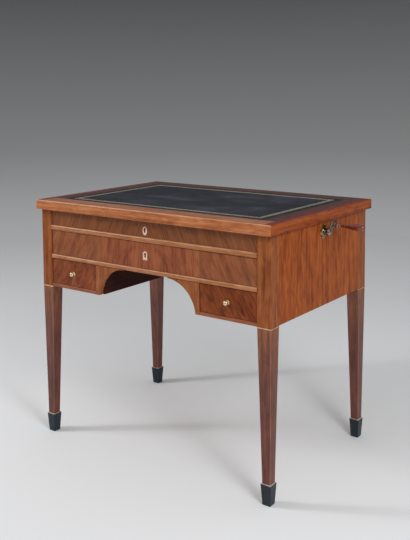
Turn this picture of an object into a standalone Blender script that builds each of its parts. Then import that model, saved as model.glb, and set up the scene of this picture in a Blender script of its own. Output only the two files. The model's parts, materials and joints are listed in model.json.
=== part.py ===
"""Mahogany writing table with a top that a crank winds up on two racks, and four drawers.

Metres, +Z up. The front faces -Y and the crank is on the +X side.
"""

import math

import bmesh
import bpy
from mathutils import Vector

# Top
HEIGHT = 0.755
TOP_WIDTH = 0.870
TOP_DEPTH = 0.594
TOP_THICKNESS = 0.029
TOP_ARRIS = 0.004
TOP_END_WIDTH = 0.026
LEATHER_BORDER = 0.063
LEATHER_THICKNESS = 0.0014

# Case
SIDE_OVERHANG = 0.0105
FRONT_OVERHANG = 0.0155
BACK_OVERHANG = 0.022
PANEL_THICKNESS = 0.018
BACK_THICKNESS = 0.012
BACK_RECESS = 0.002
UPPER_RAIL_HEIGHT = 0.0155
LOWER_RAIL_HEIGHT = 0.0135
RAIL_DEPTH = 0.022
RAIL_PROUD = 0.0015
RAIL_ROUND = 0.0045
BOTTOM_BOARD_THICKNESS = 0.010
STILE_WIDTH = 0.021
STILE_DEPTH = 0.016
STILE_FOOT = 0.013
ARCH_RADIUS = 0.100
SPANDREL_LIP = 0.0015
SPANDREL_DEPTH = 0.014

# Legs and feet
LEG_WIDTH = 0.042
LEG_END_WIDTH = 0.025
FOOT_INSET = 0.017
FOOT_TOP_WIDTH = 0.032
FOOT_BASE_WIDTH = 0.0244
FOOT_HEIGHT = 0.0588
STRING_HEIGHT = 0.0034
STRING_DEPTH = 0.003
STRING_PROUD = 0.0008

# Drawers: the heights and the width are those of the openings
UPPER_DRAWER_HEIGHT = 0.049
WIDE_DRAWER_HEIGHT = 0.0765
SMALL_DRAWER_HEIGHT = 0.080
SMALL_DRAWER_WIDTH = 0.188
SHAFT_ROOM = 0.027
BACK_ROOM = 0.120
DRAWER_RECESS = 0.0025
DRAWER_CLEARANCE = 0.0010
DRAWER_FRONT = 0.016
DRAWER_WALL = 0.009
DRAWER_FLOOR = 0.007
DRAWER_HEADROOM = 0.007
KNOB_RADIUS = 0.0075
KNOB_LENGTH = 0.0165
KNOB_FOOT = ((0.0, 0.8), (0.12, 0.8), (0.22, 0.5), (0.34, 0.5))
KNOB_BALL_START = -40
KEY_PLATE_WIDTH = 0.0165
KEY_PLATE_HEIGHT = 0.0255
KEY_PLATE_THICKNESS = 0.0018
KEY_PLATE_PROUD = 0.0004
KEYHOLE_RADIUS = 0.0040
KEYHOLE_SLOT = 0.0050
KEYHOLE_DROP = 0.0095
UPPER_KEY_RISE = 0.0180
LOCK_WIDTH = 0.052
LOCK_HEIGHT = 0.020
LOCK_THICKNESS = 0.009

# Lift
LIFT_TRAVEL = 0.165
PINION_CLEARANCE = 0.0010
SHAFT_RADIUS = 0.007
GEAR_MODULE = 0.002
GEAR_WIDTH = 0.010
PINION_TEETH = 16
PRESSURE_ANGLE = math.radians(20)
ADDENDUM = 0.8 * GEAR_MODULE
DEDENDUM = 1.1 * GEAR_MODULE
BACKLASH = 0.0003
RACK_BACK = 0.009
RACK_TAIL = 0.022
POST_WIDTH = 0.012
POST_TAIL = 0.004
GUIDE_BLOCK_DEPTH = 0.040
GUIDE_HEADROOM = 0.004
RACK_BLOCK_DEPTH = 0.020
RUNNER_WIDTH = 0.034
RUNNER_STEP = 0.001
BEARING_RADIUS = 0.016
BEARING_CLEARANCE = 0.0007

# Crank
CRANK_PLATE_RADIUS = 0.020
CRANK_PLATE_HEIGHT = 0.0055
CRANK_PLATE_STEPS = ((0.0, 1.0), (0.35, 1.0), (0.6, 0.88), (0.6, 0.74), (1.0, 0.64))
BUSH_RADIUS = 0.010
ARM_REACH = 0.0465
ARM_RISE = 0.0124
ARM_CROWN = 0.0364
ARM_BENDS = ((0.0, 0.0), (0.39, 0.4), (0.95, 1.0))
ARM_HUB_WIDTH = 0.0108
ARM_EYE_WIDTH = 0.0081
ARM_THICKNESS = 0.007
ARM_CLEARANCE = 0.0035
HUB_RADIUS = 0.0105
EYE_RADIUS = 0.0070
SPINDLE_RADIUS = 0.003
FERRULE_LENGTH = 0.010
FERRULE_RADIUS = 0.0056
FERRULE_STEPS = ((0.0, 1.0), (0.6, 1.0), (1.0, 0.85))
GRIP_LENGTH = 0.074
GRIP_RADIUS = 0.0094
GRIP_NECK_RADIUS = 0.0042
GRIP_SWELL = 0.68
GRIP_TIP = 0.007

# Fits
GAP = 0.0003
SLIDE_GAP = 0.0004
RUNNING_GAP = 0.00008

# Fineness of the curves
SEGMENTS = 32
SMALL_SEGMENTS = 24
CURVE_STEPS = 14
ROUND_STEPS = 4
FLANK_STEPS = 3

# Levels and faces worked out from the sizes above
CASE_X = TOP_WIDTH / 2 - SIDE_OVERHANG
CASE_FRONT = FRONT_OVERHANG - TOP_DEPTH / 2
CASE_BACK = TOP_DEPTH / 2 - BACK_OVERHANG
CASE_TOP = HEIGHT - TOP_THICKNESS
UPPER_RAIL_TOP = CASE_TOP - UPPER_DRAWER_HEIGHT
UPPER_RAIL_BOTTOM = UPPER_RAIL_TOP - UPPER_RAIL_HEIGHT
LOWER_RAIL_TOP = UPPER_RAIL_BOTTOM - WIDE_DRAWER_HEIGHT
LOWER_RAIL_BOTTOM = LOWER_RAIL_TOP - LOWER_RAIL_HEIGHT
BOTTOM_BOARD_TOP = LOWER_RAIL_BOTTOM - SMALL_DRAWER_HEIGHT
CASE_BOTTOM = BOTTOM_BOARD_TOP - BOTTOM_BOARD_THICKNESS
LEG_INNER = CASE_X - LEG_WIDTH
LEG_BEHIND_FRONT = CASE_FRONT + LEG_WIDTH
LEG_BEFORE_BACK = CASE_BACK - LEG_WIDTH
PANEL_INNER = CASE_X - PANEL_THICKNESS
STILE_OUTER = LEG_INNER - SMALL_DRAWER_WIDTH
KNEEHOLE_X = STILE_OUTER - STILE_WIDTH
BACK_INNER = CASE_BACK - BACK_RECESS - BACK_THICKNESS
DRAWER_FACE = CASE_FRONT + DRAWER_RECESS
UPPER_DRAWER_BACK = -SHAFT_RADIUS - SHAFT_ROOM
LOWER_DRAWER_BACK = BACK_INNER - BACK_ROOM
POCKET_X = (LEG_INNER + PANEL_INNER) / 2
PITCH_RADIUS = GEAR_MODULE * PINION_TEETH / 2
CRANK_Z = UPPER_RAIL_TOP + PITCH_RADIUS + ADDENDUM + PINION_CLEARANCE
CRANK_DROP = CASE_TOP - CRANK_Z
RACK_REAR = PITCH_RADIUS + DEDENDUM + RACK_BACK
BORE_RADIUS = SHAFT_RADIUS + RUNNING_GAP
BEARING_THICKNESS = (PANEL_INNER - LEG_INNER - GEAR_WIDTH) / 2 - GAP - BEARING_CLEARANCE
ARM_X = TOP_WIDTH / 2 + ARM_CLEARANCE
FERRULE_X = ARM_X + ARM_THICKNESS + GAP
GRIP_X = FERRULE_X + FERRULE_LENGTH + GAP
CRANK_REACH = GRIP_X + GRIP_LENGTH
TABLE_SHIFT = (TOP_WIDTH / 2 - CRANK_REACH) / 2
SIDES = (("left", -1), ("right", 1))
ENDS = (("front", CASE_FRONT, 1), ("back", CASE_BACK, -1))


def material(name, colour, roughness, metallic=0.0):
    made = bpy.data.materials.new(name)
    made.use_nodes = True
    shader = made.node_tree.nodes["Principled BSDF"]
    shader.inputs["Base Color"].default_value = (*colour, 1.0)
    shader.inputs["Roughness"].default_value = roughness
    shader.inputs["Metallic"].default_value = metallic
    return made


def empty(name, place, parent=None):
    made = bpy.data.objects.new(name, None)
    bpy.context.scene.collection.objects.link(made)
    made.parent = parent
    made.location = Vector(place) - position(parent)
    return made


def position(obj):
    """Where an unturned empty or object stands in the table's own frame."""
    total = Vector()
    while obj is not None and obj.parent is not None:
        total += obj.location
        obj = obj.parent
    return total


def add(name, bm, look, parent, place):
    """Makes an object from a mesh drawn round its own origin, with that origin at place."""
    bmesh.ops.recalc_face_normals(bm, faces=bm.faces)
    mesh = bpy.data.meshes.new(name)
    bm.to_mesh(mesh)
    bm.free()
    mesh.materials.append(look)
    made = bpy.data.objects.new(name, mesh)
    bpy.context.scene.collection.objects.link(made)
    made.parent = parent
    made.location = Vector(place) - position(parent)
    return made


def board(name, x, y, z, look, parent):
    """A plain board between two limits on each axis."""
    bm = bmesh.new()
    bmesh.ops.create_cube(bm, size=1.0)
    bmesh.ops.scale(bm, vec=(x[1] - x[0], y[1] - y[0], z[1] - z[0]), verts=bm.verts)
    middle = ((x[0] + x[1]) / 2, (y[0] + y[1]) / 2, (z[0] + z[1]) / 2)
    return add(name, bm, look, parent, middle)


def prism(name, outline, axis, low, high, look, parent, origin=(0.0, 0.0, 0.0)):
    """An outline in the two other axes, drawn round origin, filled and extruded along one axis."""
    others = [i for i in range(3) if i != axis]
    bm = bmesh.new()
    ring = []
    for first, second in outline:
        point = [0.0, 0.0, 0.0]
        point[others[0]] = first
        point[others[1]] = second
        point[axis] = low
        ring.append(bm.verts.new(point))
    face = bm.faces.new(ring)
    made = bmesh.ops.extrude_face_region(bm, geom=[face])
    step = [0.0, 0.0, 0.0]
    step[axis] = high - low
    moved = [v for v in made["geom"] if isinstance(v, bmesh.types.BMVert)]
    bmesh.ops.translate(bm, verts=moved, vec=step)
    return add(name, bm, look, parent, origin)


def turned(name, profile, closed, look, parent, place, steps=SEGMENTS):
    """A profile of (x, radius) points turned about X; a closed profile makes a ring."""
    bm = bmesh.new()
    points = [bm.verts.new((x, 0.0, radius)) for x, radius in profile]
    pairs = list(zip(points, points[1:]))
    if closed:
        pairs.append((points[-1], points[0]))
    edges = [bm.edges.new(pair) for pair in pairs]
    bmesh.ops.spin(bm, geom=points + edges, cent=(0, 0, 0), axis=(1, 0, 0), angle=math.tau,
                   steps=steps, use_merge=True)
    bmesh.ops.remove_doubles(bm, verts=bm.verts, dist=1e-6)
    made = add(name, bm, look, parent, place)
    made.data.shade_smooth()
    made.data.set_sharp_from_angle(angle=math.radians(35))
    return made


def tapered(name, sections, signs, look, parent, place):
    """Square sections (z, near, far) measured inwards from an outer corner, joined one to the next."""
    bm = bmesh.new()
    rings = []
    for z, near, far in sections:
        corners = ((near, near), (far, near), (far, far), (near, far))
        rings.append([bm.verts.new((signs[0] * a, signs[1] * b, z)) for a, b in corners])
    for lower, upper in zip(rings, rings[1:]):
        for i in range(4):
            j = (i + 1) % 4
            bm.faces.new((lower[i], lower[j], upper[j], upper[i]))
    bm.faces.new(rings[0])
    bm.faces.new(rings[-1])
    return add(name, bm, look, parent, place)


def circle(radius, steps=SEGMENTS, middle=(0.0, 0.0)):
    return [(middle[0] + radius * math.cos(math.tau * i / steps),
             middle[1] + radius * math.sin(math.tau * i / steps)) for i in range(steps)]


def arc(middle, radius, start, end, steps):
    angles = [math.radians(start + (end - start) * i / steps) for i in range(steps + 1)]
    return [(middle[0] + radius * math.cos(a), middle[1] + radius * math.sin(a)) for a in angles]


def combine(obj, other, operation):
    """Joins or cuts obj with a hidden helper."""
    other.hide_render = True
    other.display_type = "WIRE"
    change = obj.modifiers.new(operation.title(), "BOOLEAN")
    change.operation = operation
    change.object = other


def slab(name, low, high, look, parent):
    """A length of the top's board, rounded on every outer arris, cut square at low and high."""
    bm = bmesh.new()
    bmesh.ops.create_cube(bm, size=1.0)
    bmesh.ops.scale(bm, vec=(TOP_WIDTH, TOP_DEPTH, TOP_THICKNESS), verts=bm.verts)
    bmesh.ops.bevel(bm, geom=list(bm.edges), offset=TOP_ARRIS, offset_type="OFFSET", segments=3,
                    profile=0.5, affect="EDGES", material=-1)
    for limit, normal in ((low, -1), (high, 1)):
        if abs(limit) < TOP_WIDTH / 2:
            everything = list(bm.verts) + list(bm.edges) + list(bm.faces)
            bmesh.ops.bisect_plane(bm, geom=everything, plane_co=(limit, 0, 0),
                                   plane_no=(normal, 0, 0), clear_outer=True)
            rim = [e for e in bm.edges if e.is_boundary]
            bmesh.ops.contextual_create(bm, geom=rim)
    return add(name, bm, look, parent, (0.0, 0.0, HEIGHT - TOP_THICKNESS / 2))


def make_top(parent, looks):
    end = TOP_WIDTH / 2 - TOP_END_WIDTH
    panel = slab("top_panel", -end + GAP, end - GAP, looks["mahogany"], parent)
    slab("top_end_left", -TOP_WIDTH / 2, -end, looks["mahogany"], parent)
    slab("top_end_right", end, TOP_WIDTH / 2, looks["mahogany"], parent)
    x = TOP_WIDTH / 2 - LEATHER_BORDER
    y = TOP_DEPTH / 2 - LEATHER_BORDER
    floor = HEIGHT - LEATHER_THICKNESS - GAP
    recess = board("leather_recess", (-x - GAP, x + GAP), (-y - GAP, y + GAP),
                   (floor, HEIGHT + TOP_THICKNESS), looks["mahogany"], parent)
    combine(panel, recess, "DIFFERENCE")
    board("leather", (-x, x), (-y, y), (floor + GAP, HEIGHT), looks["leather"], parent)


def make_legs(parent, looks):
    spread = (FOOT_INSET - LEG_END_WIDTH / 2, FOOT_INSET + LEG_END_WIDTH / 2)
    groove = (STRING_DEPTH, LEG_WIDTH - STRING_DEPTH)
    groove_floor = CASE_BOTTOM - STRING_HEIGHT
    leg = [(CASE_TOP - GAP, 0.0, LEG_WIDTH), (CASE_BOTTOM, 0.0, LEG_WIDTH), (CASE_BOTTOM, *groove),
           (groove_floor, *groove), (groove_floor, 0.0, LEG_WIDTH), (FOOT_HEIGHT + GAP, *spread)]
    foot = [(z, FOOT_INSET - width / 2, FOOT_INSET + width / 2)
            for z, width in ((0.0, FOOT_BASE_WIDTH), (FOOT_HEIGHT, FOOT_TOP_WIDTH))]
    outer = (-STRING_PROUD, LEG_WIDTH + STRING_PROUD)
    inner = (STRING_DEPTH - GAP, LEG_WIDTH - STRING_DEPTH + GAP)
    band = (groove_floor + GAP, CASE_BOTTOM - GAP)
    for end, face, inward in ENDS:
        for side, sign in SIDES:
            corner = (sign * CASE_X, face, 0.0)
            signs = (-sign, inward)
            where = f"{end}_{side}"
            tapered(f"leg_{where}", leg, signs, looks["leg"], parent, corner)
            tapered(f"foot_{where}", foot, signs, looks["ebonised"], parent, corner)
            string = tapered(f"string_{where}", [(z, *outer) for z in band], signs, looks["brass"],
                             parent, corner)
            core = tapered(f"string_core_{where}", [(z, *inner) for z in (0.0, CASE_TOP)], signs,
                           looks["brass"], parent, corner)
            combine(string, core, "DIFFERENCE")


def make_rail(name, low, high, look, parent):
    front = CASE_FRONT - RAIL_PROUD
    back = CASE_FRONT + RAIL_DEPTH
    bend = front + RAIL_ROUND
    outline = [(back, high)]
    outline += arc((bend, high - RAIL_ROUND), RAIL_ROUND, 90, 180, ROUND_STEPS)
    outline += arc((bend, low + RAIL_ROUND), RAIL_ROUND, 180, 270, ROUND_STEPS)
    outline.append((back, low))
    end = LEG_INNER - GAP
    prism(name, outline, 0, -end, end, look, parent)


def make_case(parent, looks):
    wood = looks["mahogany"]
    make_rail("upper_rail", UPPER_RAIL_BOTTOM, UPPER_RAIL_TOP, wood, parent)
    make_rail("lower_rail", LOWER_RAIL_BOTTOM, LOWER_RAIL_TOP, wood, parent)
    inner = LEG_INNER - GAP
    rail_back = CASE_FRONT + RAIL_DEPTH + GAP
    board("dust_board", (-inner, inner), (rail_back, BACK_INNER - GAP),
          (LOWER_RAIL_BOTTOM, LOWER_RAIL_TOP), looks["oak"], parent)
    outline = [(-inner, CASE_BOTTOM), (-inner, CASE_TOP - GAP), (inner, CASE_TOP - GAP),
               (inner, CASE_BOTTOM), (KNEEHOLE_X, CASE_BOTTOM), (KNEEHOLE_X, LOWER_RAIL_BOTTOM),
               (-KNEEHOLE_X, LOWER_RAIL_BOTTOM), (-KNEEHOLE_X, CASE_BOTTOM)]
    prism("back_panel", outline, 1, BACK_INNER, BACK_INNER + BACK_THICKNESS, wood, parent)
    for side, sign in SIDES:
        make_side(side, sign, parent, looks)


def span(sign, near, far):
    """The limits along X of a piece on one side, from its distances to the middle."""
    return tuple(sorted((sign * near, sign * far)))


def make_side(side, sign, parent, looks):
    wood = looks["mahogany"]
    panel = board(f"side_panel_{side}", span(sign, PANEL_INNER, CASE_X),
                  (LEG_BEHIND_FRONT + GAP, LEG_BEFORE_BACK - GAP), (CASE_BOTTOM, CASE_TOP - GAP),
                  wood, parent)
    if sign > 0:
        hole = prism("bush_hole", circle(BUSH_RADIUS + GAP), 0, -PANEL_THICKNESS, PANEL_THICKNESS,
                     wood, parent, (PANEL_INNER + PANEL_THICKNESS / 2, 0.0, CRANK_Z))
        combine(panel, hole, "DIFFERENCE")
    under_rail = LOWER_RAIL_BOTTOM - GAP
    stile_back = CASE_FRONT + STILE_DEPTH
    board(f"kneehole_board_{side}", span(sign, KNEEHOLE_X, STILE_OUTER),
          (stile_back + GAP, BACK_INNER - GAP), (CASE_BOTTOM, under_rail), wood, parent)
    inner = STILE_OUTER + GAP
    leg = LEG_INNER - GAP
    outer = PANEL_INNER - GAP
    leg_back = LEG_BEHIND_FRONT + GAP
    leg_front = LEG_BEFORE_BACK - GAP
    back = BACK_INNER - GAP
    outline = [(inner, CASE_FRONT), (leg, CASE_FRONT), (leg, leg_back), (outer, leg_back),
               (outer, leg_front), (leg, leg_front), (leg, back), (inner, back)]
    prism(f"bottom_board_{side}", [(sign * x, y) for x, y in outline], 2, CASE_BOTTOM,
          BOTTOM_BOARD_TOP, wood, parent)
    make_arch(side, sign, under_rail, parent, wood)
    make_lift_guide(side, sign, parent, looks["oak"])


def make_arch(side, sign, top, parent, look):
    """The stile and the spandrel beside it, cut together by the arc of the kneehole's arch."""
    edge = KNEEHOLE_X - GAP
    rise = top - SPANDREL_LIP - ARCH_RADIUS
    foot = CASE_BOTTOM - rise
    middle = (STILE_OUTER - STILE_FOOT - math.sqrt(ARCH_RADIUS ** 2 - foot ** 2), rise)
    start, inside, crossing = (math.degrees(angle) for angle in (
        math.asin(foot / ARCH_RADIUS), math.acos((KNEEHOLE_X - middle[0]) / ARCH_RADIUS),
        math.acos((edge - middle[0]) / ARCH_RADIUS)))
    stile = arc(middle, ARCH_RADIUS, start, inside, CURVE_STEPS)
    stile += [(KNEEHOLE_X, top), (STILE_OUTER, top), (STILE_OUTER, CASE_BOTTOM)]
    spandrel = arc(middle, ARCH_RADIUS, crossing, 90, CURVE_STEPS) + [(middle[0], top), (edge, top)]
    for name, outline, depth in (("stile", stile, STILE_DEPTH), ("spandrel", spandrel, SPANDREL_DEPTH)):
        prism(f"{name}_{side}", [(sign * x, z) for x, z in outline], 1, CASE_FRONT, CASE_FRONT + depth,
              look, parent)


def make_lift_guide(side, sign, parent, look):
    """A runner for the shallow drawer, with blocks on it that keep two posts and the rack upright."""
    inner = LEG_INNER + GAP
    outer = PANEL_INNER - GAP
    slot = POCKET_X - POST_WIDTH / 2 - SLIDE_GAP
    level = (UPPER_RAIL_BOTTOM, CASE_TOP - GUIDE_HEADROOM)
    front = LEG_BEHIND_FRONT + GAP
    back = LEG_BEFORE_BACK - GAP
    guide = board(f"lift_guide_{side}", span(sign, LEG_INNER - RUNNER_WIDTH, (inner + slot) / 2),
                  (front + RUNNER_STEP, back - RUNNER_STEP),
                  (UPPER_RAIL_BOTTOM + RUNNER_STEP, UPPER_RAIL_TOP), look, parent)
    for end, y in (("front", front), ("back", back - GUIDE_BLOCK_DEPTH)):
        half = POST_WIDTH / 2 + SLIDE_GAP
        post = y + GUIDE_BLOCK_DEPTH / 2
        outline = [(inner, y), (outer, y), (outer, post - half), (slot, post - half),
                   (slot, post + half), (outer, post + half), (outer, y + GUIDE_BLOCK_DEPTH),
                   (inner, y + GUIDE_BLOCK_DEPTH)]
        block = prism(f"guide_block_{end}_{side}", [(sign * a, b) for a, b in outline], 2, *level,
                      look, parent)
        combine(guide, block, "UNION")
    rear = RACK_REAR + SLIDE_GAP
    block = board(f"guide_block_rack_{side}", span(sign, inner, outer),
                  (rear, rear + RACK_BLOCK_DEPTH), level, look, parent)
    combine(guide, block, "UNION")


def pinion_outline():
    """Involute teeth, one of them pointing along +Y at the rack."""
    base = PITCH_RADIUS * math.cos(PRESSURE_ANGLE)
    root = PITCH_RADIUS - DEDENDUM
    tip = PITCH_RADIUS + ADDENDUM
    half = (math.pi * GEAR_MODULE / 2 - BACKLASH) / 2 / PITCH_RADIUS
    involute = math.tan(PRESSURE_ANGLE) - PRESSURE_ANGLE
    flank = []
    for radius in [root] + [base + (tip - base) * i / FLANK_STEPS for i in range(FLANK_STEPS + 1)]:
        slant = math.acos(min(1.0, base / radius))
        flank.append((radius, half + involute - (math.tan(slant) - slant)))
    outline = []
    for tooth in range(PINION_TEETH):
        turn = math.tau * tooth / PINION_TEETH
        for side, part in ((-1, flank), (1, flank[::-1])):
            outline += [(radius * math.cos(turn + side * angle),
                         radius * math.sin(turn + side * angle)) for radius, angle in part]
    return outline


def rack_outline():
    """A straight toothed bar behind the pinion, with a space facing the pinion's +Y tooth."""
    pitch = math.pi * GEAR_MODULE
    half = (pitch / 2 - BACKLASH) / 2
    lean = math.tan(PRESSURE_ANGLE)
    tip = PITCH_RADIUS - ADDENDUM
    root = PITCH_RADIUS + DEDENDUM
    teeth_below = math.ceil((LIFT_TRAVEL + RACK_TAIL / 2) / pitch)
    outline = [(RACK_REAR, CRANK_DROP - GAP), (RACK_REAR, -LIFT_TRAVEL - RACK_TAIL),
               (root, -LIFT_TRAVEL - RACK_TAIL)]
    for tooth in range(-teeth_below, 2):
        z = (tooth + 0.5) * pitch
        outline += [(root, z - half - DEDENDUM * lean), (tip, z - half + ADDENDUM * lean),
                    (tip, z + half - ADDENDUM * lean), (root, z + half + DEDENDUM * lean)]
    outline.append((root, CRANK_DROP - GAP))
    return outline


def make_lift(top, crank, case, looks):
    steel = looks["steel"]
    rack = rack_outline()
    pinion = pinion_outline()
    guide_ends = ((LEG_BEHIND_FRONT + GAP, "front"),
                  (LEG_BEFORE_BACK - GAP - GUIDE_BLOCK_DEPTH, "back"))
    for side, sign in SIDES:
        gear = span(sign, POCKET_X - GEAR_WIDTH / 2, POCKET_X + GEAR_WIDTH / 2)
        prism(f"rack_{side}", rack, 0, *gear, steel, top, (0.0, 0.0, CRANK_Z))
        wheel = prism(f"pinion_{side}", pinion, 0, *gear, looks["brass"], crank, (0.0, 0.0, CRANK_Z))
        bore = prism(f"pinion_bore_{side}", circle(SHAFT_RADIUS + GAP), 0, gear[0] - GEAR_WIDTH,
                     gear[1] + GEAR_WIDTH, steel, crank, (0.0, 0.0, CRANK_Z))
        combine(wheel, bore, "DIFFERENCE")
        for y, end in guide_ends:
            middle = y + GUIDE_BLOCK_DEPTH / 2
            board(f"post_{end}_{side}", span(sign, POCKET_X - POST_WIDTH / 2, POCKET_X + POST_WIDTH / 2),
                  (middle - POST_WIDTH / 2, middle + POST_WIDTH / 2),
                  (UPPER_RAIL_BOTTOM - LIFT_TRAVEL - POST_TAIL, CASE_TOP - GAP), looks["oak"], top)
    left_end = GAP - PANEL_INNER
    shaft_end = ARM_X + ARM_THICKNESS + GAP
    turned("shaft", [(left_end + GAP, 0.0), (left_end + GAP, SHAFT_RADIUS), (shaft_end, SHAFT_RADIUS),
                     (shaft_end, 0.0)], False, steel, crank, (0.0, 0.0, CRANK_Z))
    bearing = [(left_end, BORE_RADIUS), (left_end, BEARING_RADIUS),
               (left_end + BEARING_THICKNESS, BEARING_RADIUS),
               (left_end + BEARING_THICKNESS, BORE_RADIUS)]
    turned("shaft_bearing", bearing, True, looks["brass"], case, (0.0, 0.0, CRANK_Z))


def make_crank_plate(case, look):
    """A moulded brass plate whose bush runs through the side panel."""
    face = CASE_X + GAP
    profile = [(PANEL_INNER, BORE_RADIUS), (PANEL_INNER, BUSH_RADIUS), (face, BUSH_RADIUS)]
    profile += [(face + a * CRANK_PLATE_HEIGHT, b * CRANK_PLATE_RADIUS) for a, b in CRANK_PLATE_STEPS]
    profile.append((face + CRANK_PLATE_HEIGHT, BORE_RADIUS))
    turned("crank_plate", profile, True, look, case, (0.0, 0.0, CRANK_Z))


def arm_outline():
    """A bent bar that rises from the hub, goes over a crown and comes down to the handle's eye."""
    pulls = [(a * ARM_REACH, b * ARM_CROWN) for a, b in ARM_BENDS] + [(ARM_REACH, ARM_RISE)]
    upper = []
    lower = []
    for i in range(CURVE_STEPS + 1):
        t = i / CURVE_STEPS
        weights = ((1 - t) ** 3, 3 * (1 - t) ** 2 * t, 3 * (1 - t) * t * t, t ** 3)
        slopes = (-3 * (1 - t) ** 2, 3 * (1 - t) ** 2 - 6 * (1 - t) * t, 6 * (1 - t) * t - 3 * t * t,
                  3 * t * t)
        y, z = (sum(w * p[k] for w, p in zip(weights, pulls)) for k in range(2))
        run, rise = (sum(w * p[k] for w, p in zip(slopes, pulls)) for k in range(2))
        half = (ARM_HUB_WIDTH + (ARM_EYE_WIDTH - ARM_HUB_WIDTH) * t) / 2 / math.hypot(run, rise)
        upper.append((y - half * rise, z + half * run))
        lower.append((y + half * rise, z - half * run))
    return upper + lower[::-1]


def make_crank(crank, handle, case, looks):
    steel = looks["steel"]
    axis = (0.0, 0.0, CRANK_Z)
    eye = (ARM_REACH, ARM_RISE)
    arm_end = ARM_X + ARM_THICKNESS
    hub_start = CASE_X + 2 * GAP + CRANK_PLATE_HEIGHT + SLIDE_GAP
    bore_end = CRANK_REACH - GRIP_TIP
    arm = prism("crank_arm", arm_outline(), 0, ARM_X, arm_end, steel, crank, axis)
    hub = prism("crank_hub", circle(HUB_RADIUS), 0, hub_start, arm_end - GAP, steel, crank, axis)
    boss = prism("crank_eye", circle(EYE_RADIUS, middle=eye), 0, ARM_X + GAP, arm_end - GAP, steel,
                 crank, axis)
    spindle = prism("crank_spindle", circle(SPINDLE_RADIUS, middle=eye), 0, ARM_X + 2 * GAP,
                    bore_end - GAP, steel, crank, axis)
    socket = prism("crank_socket", circle(SHAFT_RADIUS + GAP), 0, CASE_X, CRANK_REACH, steel, crank,
                   axis)
    for piece in (hub, boss, spindle):
        combine(arm, piece, "UNION")
    combine(arm, socket, "DIFFERENCE")
    make_crank_plate(case, looks["brass"])

    bore = SPINDLE_RADIUS + RUNNING_GAP
    place = (0.0, ARM_REACH, CRANK_Z + ARM_RISE)
    ferrule = [(FERRULE_X, bore)]
    ferrule += [(FERRULE_X + a * FERRULE_LENGTH, b * FERRULE_RADIUS) for a, b in FERRULE_STEPS]
    ferrule.append((FERRULE_X + FERRULE_LENGTH, bore))
    turned("ferrule", ferrule, True, looks["brass"], handle, place, SMALL_SEGMENTS)
    profile = [(bore_end, 0.0), (bore_end, bore), (GRIP_X, bore)]
    for i in range(CURVE_STEPS + 1):
        t = i / CURVE_STEPS
        if t < GRIP_SWELL:
            rise = t / GRIP_SWELL
            radius = GRIP_NECK_RADIUS + (GRIP_RADIUS - GRIP_NECK_RADIUS) * rise * rise * (3 - 2 * rise)
        else:
            fall = (t - GRIP_SWELL) / (1 - GRIP_SWELL)
            radius = GRIP_RADIUS * math.sqrt(1 - fall * fall)
        profile.append((GRIP_X + GRIP_LENGTH * t, radius))
    turned("grip", profile, False, looks["leg"], handle, place, SMALL_SEGMENTS)


def open_box(name, x, y, z, look, parent):
    """A drawer's sides, back and floor; the drawer's own front closes it."""
    inside_x = (x[0] + DRAWER_WALL, x[1] - DRAWER_WALL)
    inside_back = y[1] - DRAWER_WALL
    floor = z[0] + DRAWER_FLOOR
    bm = bmesh.new()
    out = {(i, j, k): bm.verts.new((x[i], y[j], z[k])) for i in (0, 1) for j in (0, 1) for k in (0, 1)}
    rear = (y[0], inside_back)
    level = (floor, z[1])
    ins = {(i, j, k): bm.verts.new((inside_x[i], rear[j], level[k]))
           for i in (0, 1) for j in (0, 1) for k in (0, 1)}
    bm.faces.new([out[i, j, 0] for i, j in ((0, 0), (1, 0), (1, 1), (0, 1))])
    bm.faces.new([ins[i, j, 0] for i, j in ((0, 0), (1, 0), (1, 1), (0, 1))])
    bm.faces.new([out[i, 1, k] for i, k in ((0, 0), (1, 0), (1, 1), (0, 1))])
    bm.faces.new([ins[i, 1, k] for i, k in ((0, 0), (1, 0), (1, 1), (0, 1))])
    for i in (0, 1):
        bm.faces.new([out[i, j, k] for j, k in ((0, 0), (1, 0), (1, 1), (0, 1))])
        bm.faces.new([ins[i, j, k] for j, k in ((0, 0), (1, 0), (1, 1), (0, 1))])
    bm.faces.new([out[0, 0, 0], out[1, 0, 0], out[1, 0, 1], ins[1, 0, 1], ins[1, 0, 0], ins[0, 0, 0],
                  ins[0, 0, 1], out[0, 0, 1]])
    bm.faces.new([out[0, 0, 1], ins[0, 0, 1], ins[0, 1, 1], ins[1, 1, 1], ins[1, 0, 1], out[1, 0, 1],
                  out[1, 1, 1], out[0, 1, 1]])
    return add(name, bm, look, parent, (0.0, 0.0, 0.0))


def make_drawer(name, x, z, rear, looks, table):
    """A drawer in the opening between x and z, on an empty that slides along Y. Returns empty and front."""
    slide = empty(f"{name}_slide", ((x[0] + x[1]) / 2, DRAWER_FACE, z[0]), table)
    width = (x[0] + DRAWER_CLEARANCE, x[1] - DRAWER_CLEARANCE)
    back = DRAWER_FACE + DRAWER_FRONT
    front = board(f"{name}_front", width, (DRAWER_FACE, back), (z[0] + GAP, z[1] - DRAWER_CLEARANCE),
                  looks["mahogany"], slide)
    open_box(f"{name}_box", width, (back + GAP, rear), (z[0] + GAP, z[1] - DRAWER_HEADROOM),
             looks["oak"], slide)
    return slide, front


def oval(width, height):
    return [(width / 2 * x, height / 2 * z) for x, z in circle(1.0)]


def shield(width, height):
    """A round head on straight sides, with a flat foot."""
    half = width / 2
    head = height / 2 - half
    return arc((0.0, head), half, 0, 180, CURVE_STEPS) + [(-half, -height / 2), (half, -height / 2)]


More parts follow.
